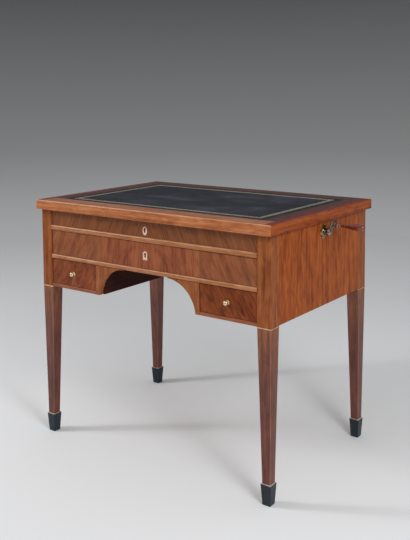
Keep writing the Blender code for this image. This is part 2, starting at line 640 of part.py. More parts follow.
def add_lock(name, outline, middle, slide, front, looks):
    """A keyhole plate let into a drawer front, the keyhole through both, and the lock behind."""
    face = DRAWER_FACE
    seat = face - KEY_PLATE_PROUD + KEY_PLATE_THICKNESS
    plate = prism(f"{name}_keyhole_plate", outline(KEY_PLATE_WIDTH, KEY_PLATE_HEIGHT), 1,
                  face - KEY_PLATE_PROUD, seat, looks["bone"], slide, middle)
    pocket = prism(f"{name}_plate_pocket", outline(KEY_PLATE_WIDTH + 2 * GAP, KEY_PLATE_HEIGHT + 2 * GAP),
                   1, face - DRAWER_FRONT, seat + GAP, looks["bone"], slide, middle)
    rise = KEYHOLE_DROP / 2
    flat = math.degrees(math.asin(KEYHOLE_SLOT / 2 / KEYHOLE_RADIUS))
    hole = arc((0.0, rise), KEYHOLE_RADIUS, -90 + flat, 270 - flat, CURVE_STEPS)
    hole += [(-KEYHOLE_SLOT / 2, rise - KEYHOLE_DROP), (KEYHOLE_SLOT / 2, rise - KEYHOLE_DROP)]
    key = prism(f"{name}_keyhole", hole, 1, face - DRAWER_FRONT, face + 2 * DRAWER_FRONT, looks["bone"],
                slide, middle)
    combine(plate, key, "DIFFERENCE")
    combine(front, pocket, "DIFFERENCE")
    combine(front, key, "DIFFERENCE")
    back = face + DRAWER_FRONT + GAP
    board(f"{name}_lock", (-LOCK_WIDTH / 2, LOCK_WIDTH / 2), (back, back + LOCK_THICKNESS),
          (middle[2] - LOCK_HEIGHT / 2, middle[2] + LOCK_HEIGHT / 2), looks["brass"], slide)


def add_knob(name, middle, slide, look):
    """A turned knob, its axis along -Y."""
    swell = KNOB_LENGTH - KNOB_RADIUS
    profile = [(0.0, 0.0)] + [(a * KNOB_LENGTH, b * KNOB_RADIUS) for a, b in KNOB_FOOT]
    profile += [(swell + z, x) for x, z in arc((0.0, 0.0), KNOB_RADIUS, KNOB_BALL_START, 90, CURVE_STEPS)]
    profile[-1] = (KNOB_LENGTH, 0.0)
    knob = turned(name, profile, False, look, slide, middle, SMALL_SEGMENTS)
    knob.rotation_euler = (0.0, 0.0, -math.pi / 2)


def make_drawers(table, looks):
    full = (-LEG_INNER, LEG_INNER)
    upper = (UPPER_RAIL_TOP, CASE_TOP)
    slide, front = make_drawer("upper_drawer", full, upper, UPPER_DRAWER_BACK, looks, table)
    add_lock("upper_drawer", oval, (0.0, 0.0, UPPER_RAIL_TOP + UPPER_KEY_RISE), slide, front, looks)
    wide = (LOWER_RAIL_TOP, UPPER_RAIL_BOTTOM)
    slide, front = make_drawer("wide_drawer", full, wide, LOWER_DRAWER_BACK, looks, table)
    add_lock("wide_drawer", shield, (0.0, 0.0, sum(wide) / 2), slide, front, looks)
    small = (BOTTOM_BOARD_TOP, LOWER_RAIL_BOTTOM)
    for side, sign in SIDES:
        x = span(sign, STILE_OUTER, LEG_INNER)
        slide, front = make_drawer(f"small_drawer_{side}", x, small, LOWER_DRAWER_BACK, looks, table)
        add_knob(f"knob_{side}", (sum(x) / 2, DRAWER_FACE - GAP, sum(small) / 2), slide, looks["brass"])


def main():
    for obj in list(bpy.data.objects):
        bpy.data.objects.remove(obj)
    looks = {
        "mahogany": material("mahogany", (0.27, 0.09, 0.035), 0.35),
        "leg": material("leg_mahogany", (0.17, 0.06, 0.035), 0.38),
        "oak": material("oak", (0.33, 0.20, 0.10), 0.6),
        "leather": material("leather", (0.012, 0.014, 0.022), 0.5),
        "ebonised": material("ebonised_wood", (0.010, 0.011, 0.014), 0.4),
        "brass": material("brass", (0.60, 0.42, 0.18), 0.3, 1.0),
        "steel": material("steel", (0.30, 0.29, 0.28), 0.35, 1.0),
        "bone": material("bone", (0.66, 0.52, 0.36), 0.45),
    }
    table = empty("table", (TABLE_SHIFT, 0.0, 0.0))
    case = empty("case", (0.0, 0.0, 0.0), table)
    top = empty("top_lift_axis", (0.0, 0.0, CASE_TOP), table)
    crank = empty("crank_axis", (0.0, 0.0, CRANK_Z), table)
    handle = empty("handle_axis", (GRIP_X, ARM_REACH, CRANK_Z + ARM_RISE), crank)
    make_top(top, looks)
    make_legs(case, looks)
    make_case(case, looks)
    make_lift(top, crank, case, looks)
    make_crank(crank, handle, case, looks)
    make_drawers(table, looks)


main()
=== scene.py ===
"""The mahogany writing table: its polished wood, leather, brass and crank, on a pale studio sweep."""

import json
import math

import bmesh
import bpy
from mathutils import Matrix, Vector

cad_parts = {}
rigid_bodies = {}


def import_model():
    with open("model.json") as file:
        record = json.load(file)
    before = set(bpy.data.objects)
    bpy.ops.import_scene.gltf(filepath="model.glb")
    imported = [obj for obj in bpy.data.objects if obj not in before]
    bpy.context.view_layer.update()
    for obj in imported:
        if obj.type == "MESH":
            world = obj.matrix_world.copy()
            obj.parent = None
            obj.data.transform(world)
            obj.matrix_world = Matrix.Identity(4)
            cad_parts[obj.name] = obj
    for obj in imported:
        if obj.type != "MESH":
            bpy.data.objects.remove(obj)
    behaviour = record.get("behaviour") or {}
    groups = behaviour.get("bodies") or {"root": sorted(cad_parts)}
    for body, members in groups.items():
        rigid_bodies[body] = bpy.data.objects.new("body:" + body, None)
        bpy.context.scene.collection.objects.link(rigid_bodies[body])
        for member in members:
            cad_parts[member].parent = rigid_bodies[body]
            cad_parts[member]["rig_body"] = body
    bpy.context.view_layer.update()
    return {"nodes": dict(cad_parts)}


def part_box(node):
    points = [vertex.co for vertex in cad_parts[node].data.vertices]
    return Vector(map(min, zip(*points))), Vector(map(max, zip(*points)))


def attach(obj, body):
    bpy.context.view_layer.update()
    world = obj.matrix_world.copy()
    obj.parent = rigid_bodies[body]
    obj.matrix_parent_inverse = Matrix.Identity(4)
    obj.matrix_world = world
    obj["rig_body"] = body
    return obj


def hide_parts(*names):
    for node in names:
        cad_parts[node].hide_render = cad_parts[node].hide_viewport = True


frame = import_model()

# Camera, solved from the corners of the top and of the feet in the photograph
CAMERA_YAW = 36.385
CAMERA_PITCH = 5.167
CAMERA_ROLL = -0.379
CAMERA_PLACE = Vector((1.5027, -2.0252, 1.106))
CAMERA_LENS = 54.14
CAMERA_SHIFT = -0.2037

# Studio: the paper's sizes, and a fall-off of the light painted into its colour as grey, tuned to the
# photograph's background, and lamps placed from the shadows of the feet
FLOOR_REACH = 3.7
WALL_BEND = 1.0
WALL_HEIGHT = 3.4
PAINTED_POOL_CENTRE = (0.45, -0.70, 0.0)
HEIGHT_WEIGHT = 3.0
FALL_OFF = 12.0
LEFT_LAMP = Vector((-2.04, -1.55, 2.0))
RIGHT_LAMP = Vector((2.12, -1.23, 2.0))
LAMP_AIM = Vector((0.0, 0.0, 0.3))
SKY_STRENGTH = 0.51

# Figure of mahogany: width of a streak, width and length of a cloud and of a pore
STREAK_WIDTH = 0.0028
CLOUD = (0.016, 0.045)
CLOUD_SHARE = 0.30
PORE = (0.0015, 0.024)

# Rounding of worn arrises
ARRIS = 0.0009
THIN_ARRIS = 0.0005
LEATHER_ARRIS = 0.0007
STRING_ARRIS = 0.0006
LEG_ARRIS = 0.0011
FOOT_ARRIS = 0.0014
BOX_ARRIS = 0.0012
BOX_FLOOR_ARRIS = 0.0004
UNDER_TOP_ARRIS = 0.0012
TOP_ARRIS = 0.0040
RAIL_NOSE = 0.0045
PLATE_RIM = 0.0003

# Room between a piece and what it is let into, and beside a small drawer's front
FIT = 0.0003
DRAWER_FIT = 0.0007

# Upward part of the normal of a level face, a foot's ledge, an upper arris, a rail's nose and an underside
LEVEL = 0.99
LEDGE = 0.9
UPPER = 0.6
NOSE = 0.3
UNDER = -0.7

# Shortest edge that runs the length of a leg or a rail
LONG_EDGE = 0.1

# Gilt fillets, and the roll of lozenges between them
FILLET_INSETS = (0.0230, 0.0320)
FILLET_WIDTH = 0.0020
LOZENGE_INSET = 0.02855
LOZENGE_PITCH = 0.0085
LOZENGE_RADIUS = 0.0019
LOZENGE_STRETCH = 1.55
GILT_RISE = 0.00008

# Legs, their strings and feet
LEG_END = 0.025
FOOT_BASE = 0.0244
STRING_DEPTH = 0.003
STRING_LAP = 0.0005

# Arch of the kneehole
ARCH_RADIUS = 0.100
ARCH_LIP = 0.0015

# Drawers: oak of the boxes, and the dovetails that join a side to its front
BOX_WALL = 0.009
BOX_FLOOR = 0.007
BACK_DROP = 0.003
TAIL_PITCH = 0.022
TAIL_DEPTH = 0.0105
TAIL_LAP = 0.0004
TAIL_PROUD = 0.00006
TAIL_INNER = 0.002
TAIL_HALF = 0.36
TAIL_WAIST = 0.62

# Joints of the wide drawer's veneer, outwards from its middle, and the keyhole's sizes
VENEER_JOINTS = (0.194, 0.178)
KEY_EYE = 0.0040
KEY_SLOT = 0.0025
KEY_RISE = 0.00475

# Knobs: middle, half depth and radius of the ball, and its steps
BALL_MIDDLE = 0.0098
BALL_DEPTH = 0.0066
BALL_RADIUS = 0.0074
BALL_STEPS = 20

# Crank: bore of its plate, swan neck of its arm and swell of its grip
PLATE_BORE = 0.0071
ARM_CROWN = 0.0364
ARM_THICKNESS = 0.007
ARM_RADIUS = 0.0046
ARM_HUB_SWELL = 1.62
ARM_EYE_SWELL = 1.18
ARM_FLATTEN = 0.52
GRIP_SWELL = 0.68
GRIP_RADIUS = 0.0094
GRIP_NECK = 0.0042
GRIP_STEPS = 40

# Fineness
TURN_STEPS = 64
ARCH_STEPS = 240

NODES = frame["nodes"]
TOP_LOW, TOP_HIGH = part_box("top_panel")
MIDDLE = Vector(((TOP_LOW.x + TOP_HIGH.x) / 2, 0.0, 0.0))
SIDES = (("left", -1), ("right", 1))
CORNERS = ("front_left", "front_right", "back_left", "back_right")


def linear(code):
    """An sRGB hex colour as Blender's linear one."""
    values = [int(code[i:i + 2], 16) / 255 for i in (1, 3, 5)]
    return (*(v / 12.92 if v <= 0.04045 else ((v + 0.055) / 1.055) ** 2.4 for v in values), 1.0)


def node(tree, kind, inputs=None, stops=None, **settings):
    """Adds a node with its settings; each input takes a value or a link, and a ramp its stops."""
    made = tree.nodes.new(kind)
    for name, value in settings.items():
        setattr(made, name, value)
    for key, value in (inputs or {}).items():
        if isinstance(value, bpy.types.NodeSocket):
            tree.links.new(value, made.inputs[key])
        else:
            made.inputs[key].default_value = value
    if stops:
        ramp = made.color_ramp
        while len(ramp.elements) < len(stops):
            ramp.elements.new(0.5)
        for element, (place, colour) in zip(ramp.elements, stops):
            element.position = place
            element.color = colour
    return made


def new_material(name):
    """A new material. Returns it, its tree and its shader."""
    made = bpy.data.materials.new(name)
    made.use_nodes = True
    return made, made.node_tree, made.node_tree.nodes["Principled BSDF"]


def connect(tree, shader, colour, rough, bump):
    """Gives a shader its colour, roughness and bump."""
    for socket, name in ((colour, "Base Color"), (rough, "Roughness"), (bump, "Normal")):
        tree.links.new(socket, shader.inputs[name])


def blots(tree, vector, size, turn=(0.0, 0.0, 0.0), detail=2.0, rough=0.5, bend=0.0):
    """A cloudy pattern whose blots have a size in metres along each axis, which may be turned."""
    place = node(tree, "ShaderNodeMapping", {"Vector": vector, "Rotation": turn, "Scale": size},
                 vector_type="TEXTURE")
    made = node(tree, "ShaderNodeTexNoise", {"Vector": place.outputs[0], "Scale": 1.0, "Detail": detail,
                                             "Roughness": rough, "Distortion": bend})
    return made.outputs["Fac"]


def mahogany(name, deep, body, light, along, ribbon, length, lean=0.0, fold=None, swirl=0.6, gloss=0.24,
             polish=0.30, stain=None):
    """French-polished mahogany: ribbons of darker and lighter wood, fine streaks and short open pores.

    along is the axis of the grain, ribbon and length the size of its ribbons, lean its angle in the front's
    plane, fold the x about which the veneer is book-matched, swirl how far the ribbons bend, gloss its
    least roughness, polish how strongly it mirrors the room, and stain a tint, matched to the photograph, that
    paints a reflection into the colour, with the height up to which it is full and the height where it ends.
    """
    made, tree, shader = new_material(name)
    vector = node(tree, "ShaderNodeTexCoord").outputs["Object"]
    if fold is not None:
        parts = node(tree, "ShaderNodeSeparateXYZ", {0: vector})
        off = node(tree, "ShaderNodeMath", {0: parts.outputs[0], 1: fold}, operation="SUBTRACT")
        away = node(tree, "ShaderNodeMath", {0: off.outputs[0]}, operation="ABSOLUTE")
        vector = node(tree, "ShaderNodeCombineXYZ",
                      {0: away.outputs[0], 1: parts.outputs[1], 2: parts.outputs[2]}).outputs[0]
    turn = (0.0, math.radians(lean), 0.0)

    def grain(wide, long):
        size = [wide, wide, wide]
        size[along] = long
        return size

    ribbons = blots(tree, vector, grain(ribbon, length), turn, 2.0, 0.5, swirl)
    streaks = blots(tree, vector, grain(STREAK_WIDTH, 0.35 * length), turn, 4.0, 0.66, 0.4)
    clouds = blots(tree, vector, grain(*CLOUD), turn, 2.0, 0.5, 0.8)
    # Real pores are 0.2 mm wide, too fine to show, so they are drawn 1.5 mm wide
    pores = blots(tree, vector, grain(*PORE), turn, 1.0, 0.5)
    figure = node(tree, "ShaderNodeMix", {0: 0.55, 2: ribbons, 3: streaks}, data_type="FLOAT").outputs[0]
    figure = node(tree, "ShaderNodeMix", {0: CLOUD_SHARE, 2: figure, 3: clouds}, data_type="FLOAT").outputs[0]
    colour = node(tree, "ShaderNodeValToRGB", {0: figure},
                  [(0.36, linear(deep)), (0.50, linear(body)), (0.64, linear(light))]).outputs[0]
    # Painted reflection: below a height the colour is tinted plum, standing for the floor's sheen
    if stain is not None:
        tint, full, end = stain
        height = node(tree, "ShaderNodeSeparateXYZ", {0: vector}).outputs[2]
        sunk = node(tree, "ShaderNodeMapRange", {0: height, 1: full, 2: end, 3: 1.0, 4: 0.0}).outputs[0]
        colour = node(tree, "ShaderNodeMix", {0: sunk, 6: colour, 7: linear(tint)}, data_type="RGBA",
                      blend_type="MULTIPLY").outputs[2]
    mark = node(tree, "ShaderNodeMapRange", {0: pores, 1: 0.58, 2: 0.72, 3: 0.0, 4: 1.0}).outputs[0]
    shade = node(tree, "ShaderNodeMath", {0: mark, 1: 0.45}, operation="MULTIPLY").outputs[0]
    colour = node(tree, "ShaderNodeMix", {0: shade, 6: colour, 7: linear(deep)}, data_type="RGBA").outputs[2]
    sheen = node(tree, "ShaderNodeMapRange",
                 {0: streaks, 1: 0.3, 2: 0.7, 3: gloss, 4: gloss + 0.14}).outputs[0]
    dents = node(tree, "ShaderNodeMath", {0: 1.0, 1: mark}, operation="SUBTRACT").outputs[0]
    bump = node(tree, "ShaderNodeBump", {"Strength": 0.12, "Distance": 0.0003, "Height": dents}).outputs[0]
    connect(tree, shader, colour, sheen, bump)
    shader.inputs["Specular IOR Level"].default_value = polish
    return made


def oak(name, along):
    """Plain oak, planed and never polished: dry, pale, with straight darker lines along the grain."""
    made, tree, shader = new_material(name)
    vector = node(tree, "ShaderNodeTexCoord").outputs["Object"]
    wide = [0.022, 0.022, 0.022]
    wide[along] = 0.5
    fine = [0.0022, 0.0022, 0.0022]
    fine[along] = 0.09
    bands = blots(tree, vector, wide, detail=3.0, bend=0.5)
    lines = blots(tree, vector, fine, detail=3.0, rough=0.6)
    figure = node(tree, "ShaderNodeMix", {0: 0.5, 2: bands, 3: lines}, data_type="FLOAT").outputs[0]
    stops = [(0.34, linear("#6f4d2c")), (0.50, linear("#9a7247")), (0.66, linear("#b58d5e"))]
    colour = node(tree, "ShaderNodeValToRGB", {0: figure}, stops).outputs[0]
    rough = node(tree, "ShaderNodeMapRange", {0: lines, 1: 0.3, 2: 0.7, 3: 0.55, 4: 0.75}).outputs[0]
    bump = node(tree, "ShaderNodeBump", {"Strength": 0.25, "Distance": 0.0003, "Height": lines}).outputs[0]
    connect(tree, shader, colour, rough, bump)
    return made


def metal(name, bright, dull, rough, mottle=0.012):
    """A handled metal: bright where it is rubbed, duller and rougher where it has tarnished."""
    made, tree, shader = new_material(name)
    vector = node(tree, "ShaderNodeTexCoord").outputs["Object"]
    stains = blots(tree, vector, (mottle,) * 3, detail=5.0, rough=0.6)
    scratches = blots(tree, vector, (0.0012, 0.0012, 0.012), detail=2.0)
    stops = [(0.38, linear(dull)), (0.60, linear(bright))]
    colour = node(tree, "ShaderNodeValToRGB", {0: stains}, stops).outputs[0]
    worn = node(tree, "ShaderNodeMapRange",
                {0: stains, 1: 0.35, 2: 0.65, 3: rough + 0.16, 4: rough}).outputs[0]
    bump = node(tree, "ShaderNodeBump",
                {"Strength": 0.08, "Distance": 0.0002, "Height": scratches}).outputs[0]
    connect(tree, shader, colour, worn, bump)
    shader.inputs["Metallic"].default_value = 1.0
    return made


def dyed_leather():
    """Skiver leather, dyed nearly black: fine pebbled grain, paler where elbows have rubbed it."""
    made, tree, shader = new_material("dyed_leather")
    vector = node(tree, "ShaderNodeTexCoord").outputs["Object"]
    rubbed = blots(tree, vector, (0.16, 0.11, 0.1), detail=5.0, rough=0.62, bend=0.4)
    # Skiver's grain is under 1 mm, so it is drawn 2.4 mm wide to show
    pebbles = node(tree, "ShaderNodeTexVoronoi", {"Vector": vector, "Scale": 420.0, "Randomness": 1.0},
                   feature="SMOOTH_F1").outputs["Distance"]
    stops = [(0.38, linear("#191c25")), (0.52, linear("#262934")), (0.66, linear("#3d3f4b"))]
    colour = node(tree, "ShaderNodeValToRGB", {0: rubbed}, stops).outputs[0]
    rough = node(tree, "ShaderNodeMapRange", {0: rubbed, 1: 0.3, 2: 0.7, 3: 0.52, 4: 0.40}).outputs[0]
    bump = node(tree, "ShaderNodeBump", {"Strength": 0.30, "Distance": 0.0004, "Height": pebbles}).outputs[0]
    connect(tree, shader, colour, rough, bump)
    shader.inputs["Specular IOR Level"].default_value = 0.25
    return made


def black_stain(top):
    """Ebonised wood: black stain under shellac, rubbed through to pale wood on the upper edge of a foot."""
    made, tree, shader = new_material("black_stain")
    vector = node(tree, "ShaderNodeTexCoord").outputs["Object"]
    grain = blots(tree, vector, (0.004, 0.004, 0.05), detail=4.0, rough=0.6)
    scuffs = blots(tree, vector, (0.006, 0.006, 0.006), detail=3.0)
    stops = [(0.35, linear("#101821")), (0.65, linear("#202c39"))]
    colour = node(tree, "ShaderNodeValToRGB", {0: grain}, stops).outputs[0]
    height = node(tree, "ShaderNodeSeparateXYZ", {0: vector}).outputs[2]
    edge = node(tree, "ShaderNodeMapRange",
                {0: height, 1: top - 0.0016, 2: top - 0.0003, 3: 0.0, 4: 0.5}).outputs[0]
    patchy = node(tree, "ShaderNodeMapRange", {0: scuffs, 1: 0.36, 2: 0.56, 3: 0.35, 4: 1.0}).outputs[0]
    wear = node(tree, "ShaderNodeMath", {0: edge, 1: patchy}, operation="MULTIPLY").outputs[0]
    colour = node(tree, "ShaderNodeMix", {0: wear, 6: colour, 7: linear("#b39a80")},
                  data_type="RGBA").outputs[2]
    rough = node(tree, "ShaderNodeMapRange", {0: scuffs, 1: 0.3, 2: 0.7, 3: 0.30, 4: 0.46}).outputs[0]
    bump = node(tree, "ShaderNodeBump", {"Strength": 0.10, "Distance": 0.0003, "Height": grain}).outputs[0]
    connect(tree, shader, colour, rough, bump)
    shader.inputs["Specular IOR Level"].default_value = 0.35
    return made


def polished_bone():
    """Bone, sawn and polished: warm white with faint streaks."""
    made, tree, shader = new_material("polished_bone")
    vector = node(tree, "ShaderNodeTexCoord").outputs["Object"]
    streaks = blots(tree, vector, (0.0014, 0.0014, 0.012), detail=3.0)
    stops = [(0.35, linear("#c99f88")), (0.60, linear("#efccb4"))]
    colour = node(tree, "ShaderNodeValToRGB", {0: streaks}, stops).outputs[0]
    tree.links.new(colour, shader.inputs["Base Color"])
    shader.inputs["Roughness"].default_value = 0.34
    shader.inputs["Subsurface Weight"].default_value = 0.08
    return made


def studio_paper_painted_falloff():
    """Seamless paper with painted light: pale by the table, falling off into grey away from the lamps and up
    the wall.
    """
    made, tree, shader = new_material("studio_paper_painted_falloff")
    vector = node(tree, "ShaderNodeTexCoord").outputs["Object"]
    parts = node(tree, "ShaderNodeSeparateXYZ", {0: vector})
    flat = node(tree, "ShaderNodeCombineXYZ", {0: parts.outputs[0], 1: parts.outputs[1]})
    away = node(tree, "ShaderNodeVectorMath", {0: flat.outputs[0], 1: PAINTED_POOL_CENTRE}, operation="DISTANCE")
    run = node(tree, "ShaderNodeMath", {0: parts.outputs[2], 1: HEIGHT_WEIGHT, 2: away.outputs["Value"]},
               operation="MULTIPLY_ADD")
    share = node(tree, "ShaderNodeMath", {0: run.outputs[0], 1: FALL_OFF}, operation="DIVIDE")
    # Painted fall-off of the light: the paper's colour greys with distance from the table and height up the
    # wall
    painted_falloff_greys = ((0.0, "#eef0f2"), (2.0, "#ebedef"), (4.5, "#d6d8d9"), (7.0, "#a3a4a5"), (11.0, "#6f7071"))
    stops = [(metres / FALL_OFF, linear(code)) for metres, code in painted_falloff_greys]
    colour = node(tree, "ShaderNodeValToRGB", {0: share.outputs[0]}, stops).outputs[0]
    tree.links.new(colour, shader.inputs["Base Color"])
    shader.inputs["Roughness"].default_value = 0.9
    shader.inputs["Specular IOR Level"].default_value = 0.1
    return made


def add_camera():
    """The photograph's viewpoint."""
    data = bpy.data.cameras.new("camera")
    data.lens = CAMERA_LENS
    data.shift_y = CAMERA_SHIFT
    made = bpy.data.objects.new("camera", data)
    bpy.context.scene.collection.objects.link(made)
    made.matrix_world = (Matrix.Translation(CAMERA_PLACE + MIDDLE)
                         @ Matrix.Rotation(math.radians(CAMERA_YAW), 4, "Z")
                         @ Matrix.Rotation(math.radians(90 - CAMERA_PITCH), 4, "X")
                         @ Matrix.Rotation(math.radians(CAMERA_ROLL), 4, "Z"))
    bpy.context.scene.camera = made


def add_lamp(name, place, size, power):
    """A soft box that faces the table."""
    data = bpy.data.lights.new(name, "AREA")
    data.shape = "RECTANGLE"
    data.size, data.size_y = size
    data.energy = power
    made = bpy.data.objects.new(name, data)
    bpy.context.scene.collection.objects.link(made)
    made.location = place
    made.rotation_euler = (MIDDLE + LAMP_AIM - place).to_track_quat("-Z", "Y").to_euler()


def add_studio():
    """A paper floor that bends up into a wall all round, soft lamps and an even grey sky."""
    paper = studio_paper_painted_falloff()
    for name in ("floor", "backdrop"):
        bm = bmesh.new()
        if name == "floor":
            bm.edges.new([bm.verts.new((x, 0.0, 0.0)) for x in (0.0, FLOOR_REACH)])
        else:
            first = bm.verts.new((FLOOR_REACH, 0.0, 0.0))
            bmesh.ops.spin(bm, geom=[first], cent=(FLOOR_REACH, 0.0, WALL_BEND), axis=(0.0, -1.0, 0.0),
                           angle=math.pi / 2, steps=12)
            last = max(bm.verts, key=lambda v: v.co.z)
            rise = bmesh.ops.extrude_vert_indiv(bm, verts=[last])["verts"]
            bmesh.ops.translate(bm, verts=rise, vec=(0.0, 0.0, WALL_HEIGHT - WALL_BEND))
        bmesh.ops.spin(bm, geom=list(bm.verts) + list(bm.edges), cent=(0, 0, 0), axis=(0, 0, 1),
                       angle=math.tau, steps=96, use_merge=True)
        bmesh.ops.remove_doubles(bm, verts=bm.verts, dist=1e-5)
        bmesh.ops.recalc_face_normals(bm, faces=bm.faces)
        mesh = bpy.data.meshes.new(name)
        bm.to_mesh(mesh)
        bm.free()
        mesh.shade_smooth()
        mesh.materials.append(paper)
        made = bpy.data.objects.new(name, mesh)
        bpy.context.scene.collection.objects.link(made)
        if name == "backdrop":
            # The wall lets the even light of the world through, and still shows in polish and metal
            made.visible_diffuse = made.visible_shadow = False
    # A soft box with a brighter strip in it on each side
    for name, place, size, power in (("left_strip", LEFT_LAMP, (0.22, 0.80), 15.0),
                                     ("left_box", LEFT_LAMP, (0.9, 1.0), 16.5),
                                     ("right_strip", RIGHT_LAMP, (0.40, 0.80), 13.0),
                                     ("right_box", RIGHT_LAMP, (1.1, 1.1), 20.0)):
        add_lamp(name, MIDDLE + place, size, power)
    world = bpy.data.worlds.new("studio")
    bpy.context.scene.world = world
    world.use_nodes = True
    sky = world.node_tree.nodes["Background"].inputs
    sky["Color"].default_value = linear("#f2f2f2")
    sky["Strength"].default_value = SKY_STRENGTH
    bpy.context.scene.view_settings.view_transform = "Standard"


def soften(bm, edges, offset=ARRIS, segments=2):
    """Rounds arrises."""
    return bmesh.ops.bevel(bm, geom=list(edges), offset=offset, offset_type="OFFSET", segments=segments,
                           profile=0.5, affect="EDGES", material=-1)


def add_block(bm, low, high):
    """A sharp block between two corners. Returns its vertices."""
    low, high = Vector(low), Vector(high)
    made = bmesh.ops.create_cube(bm, size=1.0)["verts"]
    bmesh.ops.scale(bm, vec=high - low, verts=made)
    bmesh.ops.translate(bm, vec=(low + high) / 2, verts=made)
    return made


def edges_of(verts):
    """The edges at some vertices."""
    return list({edge for vert in verts for edge in vert.link_edges})


def verts_of(geom):
    """The vertices among what an operator made."""
    return [v for v in geom if isinstance(v, bmesh.types.BMVert)]


def split(bm, place, normal, clear=False):
    """Cuts a whole mesh along a plane, and may throw away what is in front of it."""
    bmesh.ops.bisect_plane(bm, geom=list(bm.verts) + list(bm.edges) + list(bm.faces), plane_co=place,
                           plane_no=normal, clear_outer=clear)


def even_shading(made):
    """Shades flat faces flat and rounded arrises round."""
    made.modifiers.new("even_shading", "WEIGHTED_NORMAL").keep_sharp = True


def add_board(bm, low, high, offset=ARRIS, index=0):
    """A block with every arris softened, in one of its piece's materials."""
    before = set(bm.faces)
    soften(bm, edges_of(add_block(bm, low, high)), offset)
    for face in set(bm.faces) - before:
        face.material_index = index


def finish(name, bm, looks, node_name, even=True):
    """Makes the piece that stands for a plain solid, on the solid's own body."""
    bmesh.ops.recalc_face_normals(bm, faces=bm.faces)
    mesh = bpy.data.meshes.new(name)
    bm.to_mesh(mesh)
    bm.free()
    for look in looks:
        mesh.materials.append(look)
    mesh.shade_smooth()
    mesh.set_sharp_from_angle(angle=math.radians(48))
    made = bpy.data.objects.new(name, mesh)
    bpy.context.scene.collection.objects.link(made)
    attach(made, NODES[node_name]["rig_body"])
    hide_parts(node_name)
    if even:
        even_shading(made)
    return made


def carve(made, bm):
    """Cuts a closed shape out of a piece for good."""
    mesh = bpy.data.meshes.new("cutter")
    bmesh.ops.recalc_face_normals(bm, faces=bm.faces)
    bm.to_mesh(mesh)
    bm.free()
    cutter = bpy.data.objects.new("cutter", mesh)
    bpy.context.scene.collection.objects.link(cutter)
    change = made.modifiers.new("cut", "BOOLEAN")
    change.operation = "DIFFERENCE"
    change.object = cutter
    bpy.context.view_layer.update()
    ready = made.evaluated_get(bpy.context.evaluated_depsgraph_get())
    made.data = bpy.data.meshes.new_from_object(ready)
    made.modifiers.remove(change)
    bpy.data.objects.remove(cutter)


def turn_profile(bm, profile, place, along):
    """Turns (distance, radius) points about an axis that leaves place along +X or -Y."""
    start = set(bm.verts)
    points = [bm.verts.new((distance, 0.0, radius)) for distance, radius in profile]
    edges = [bm.edges.new(pair) for pair in zip(points, points[1:])]
    bmesh.ops.spin(bm, geom=points + edges, cent=(0, 0, 0), axis=(1, 0, 0), angle=math.tau,
                   steps=TURN_STEPS, use_merge=True)
    new = [v for v in bm.verts if v not in start]
    bmesh.ops.remove_doubles(bm, verts=new, dist=1e-6)
    new = [v for v in bm.verts if v not in start]
    if along == "-Y":
        bmesh.ops.rotate(bm, verts=new, cent=(0, 0, 0), matrix=Matrix.Rotation(-math.pi / 2, 3, "Z"))
    bmesh.ops.translate(bm, verts=new, vec=place)


def make_boards(looks):
    """The plain boards, each as its solid but with softened arrises."""
    # The kneehole boards take a dark finish that paints in their shade
    plain = {"side_panel_left": "side", "side_panel_right": "side", "dust_board": "oak_x",
             "kneehole_board_left": "kneehole", "kneehole_board_right": "kneehole",
             "small_drawer_left_front": "small_left", "small_drawer_right_front": "small_right"}
    for name, look in plain.items():
        bm = bmesh.new()
        add_board(bm, *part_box(name))
        finish(f"{name}_dressed", bm, [looks[look]], name)


def make_slab(low, high):
    """A length of the top's board: its arrises rounded outside, cut square where it meets its neighbour."""
    ends = (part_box("top_end_left")[0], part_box("top_end_right")[1])
    bm = bmesh.new()
    verts = add_block(bm, *ends)
    shoulder = TOP_HIGH.z - 0.01
    lower = [e for e in edges_of(verts) if all(v.co.z < shoulder for v in e.verts)]
    soften(bm, lower, UNDER_TOP_ARRIS, 3)
    soften(bm, [e for e in bm.edges if any(v.co.z > shoulder for v in e.verts)], TOP_ARRIS, 5)
    for limit, normal in ((low, -1), (high, 1)):
        if ends[0].x < limit < ends[1].x:
            split(bm, (limit, 0, 0), (normal, 0, 0), clear=True)
            bmesh.ops.contextual_create(bm, geom=[e for e in bm.edges if e.is_boundary])
    return bm


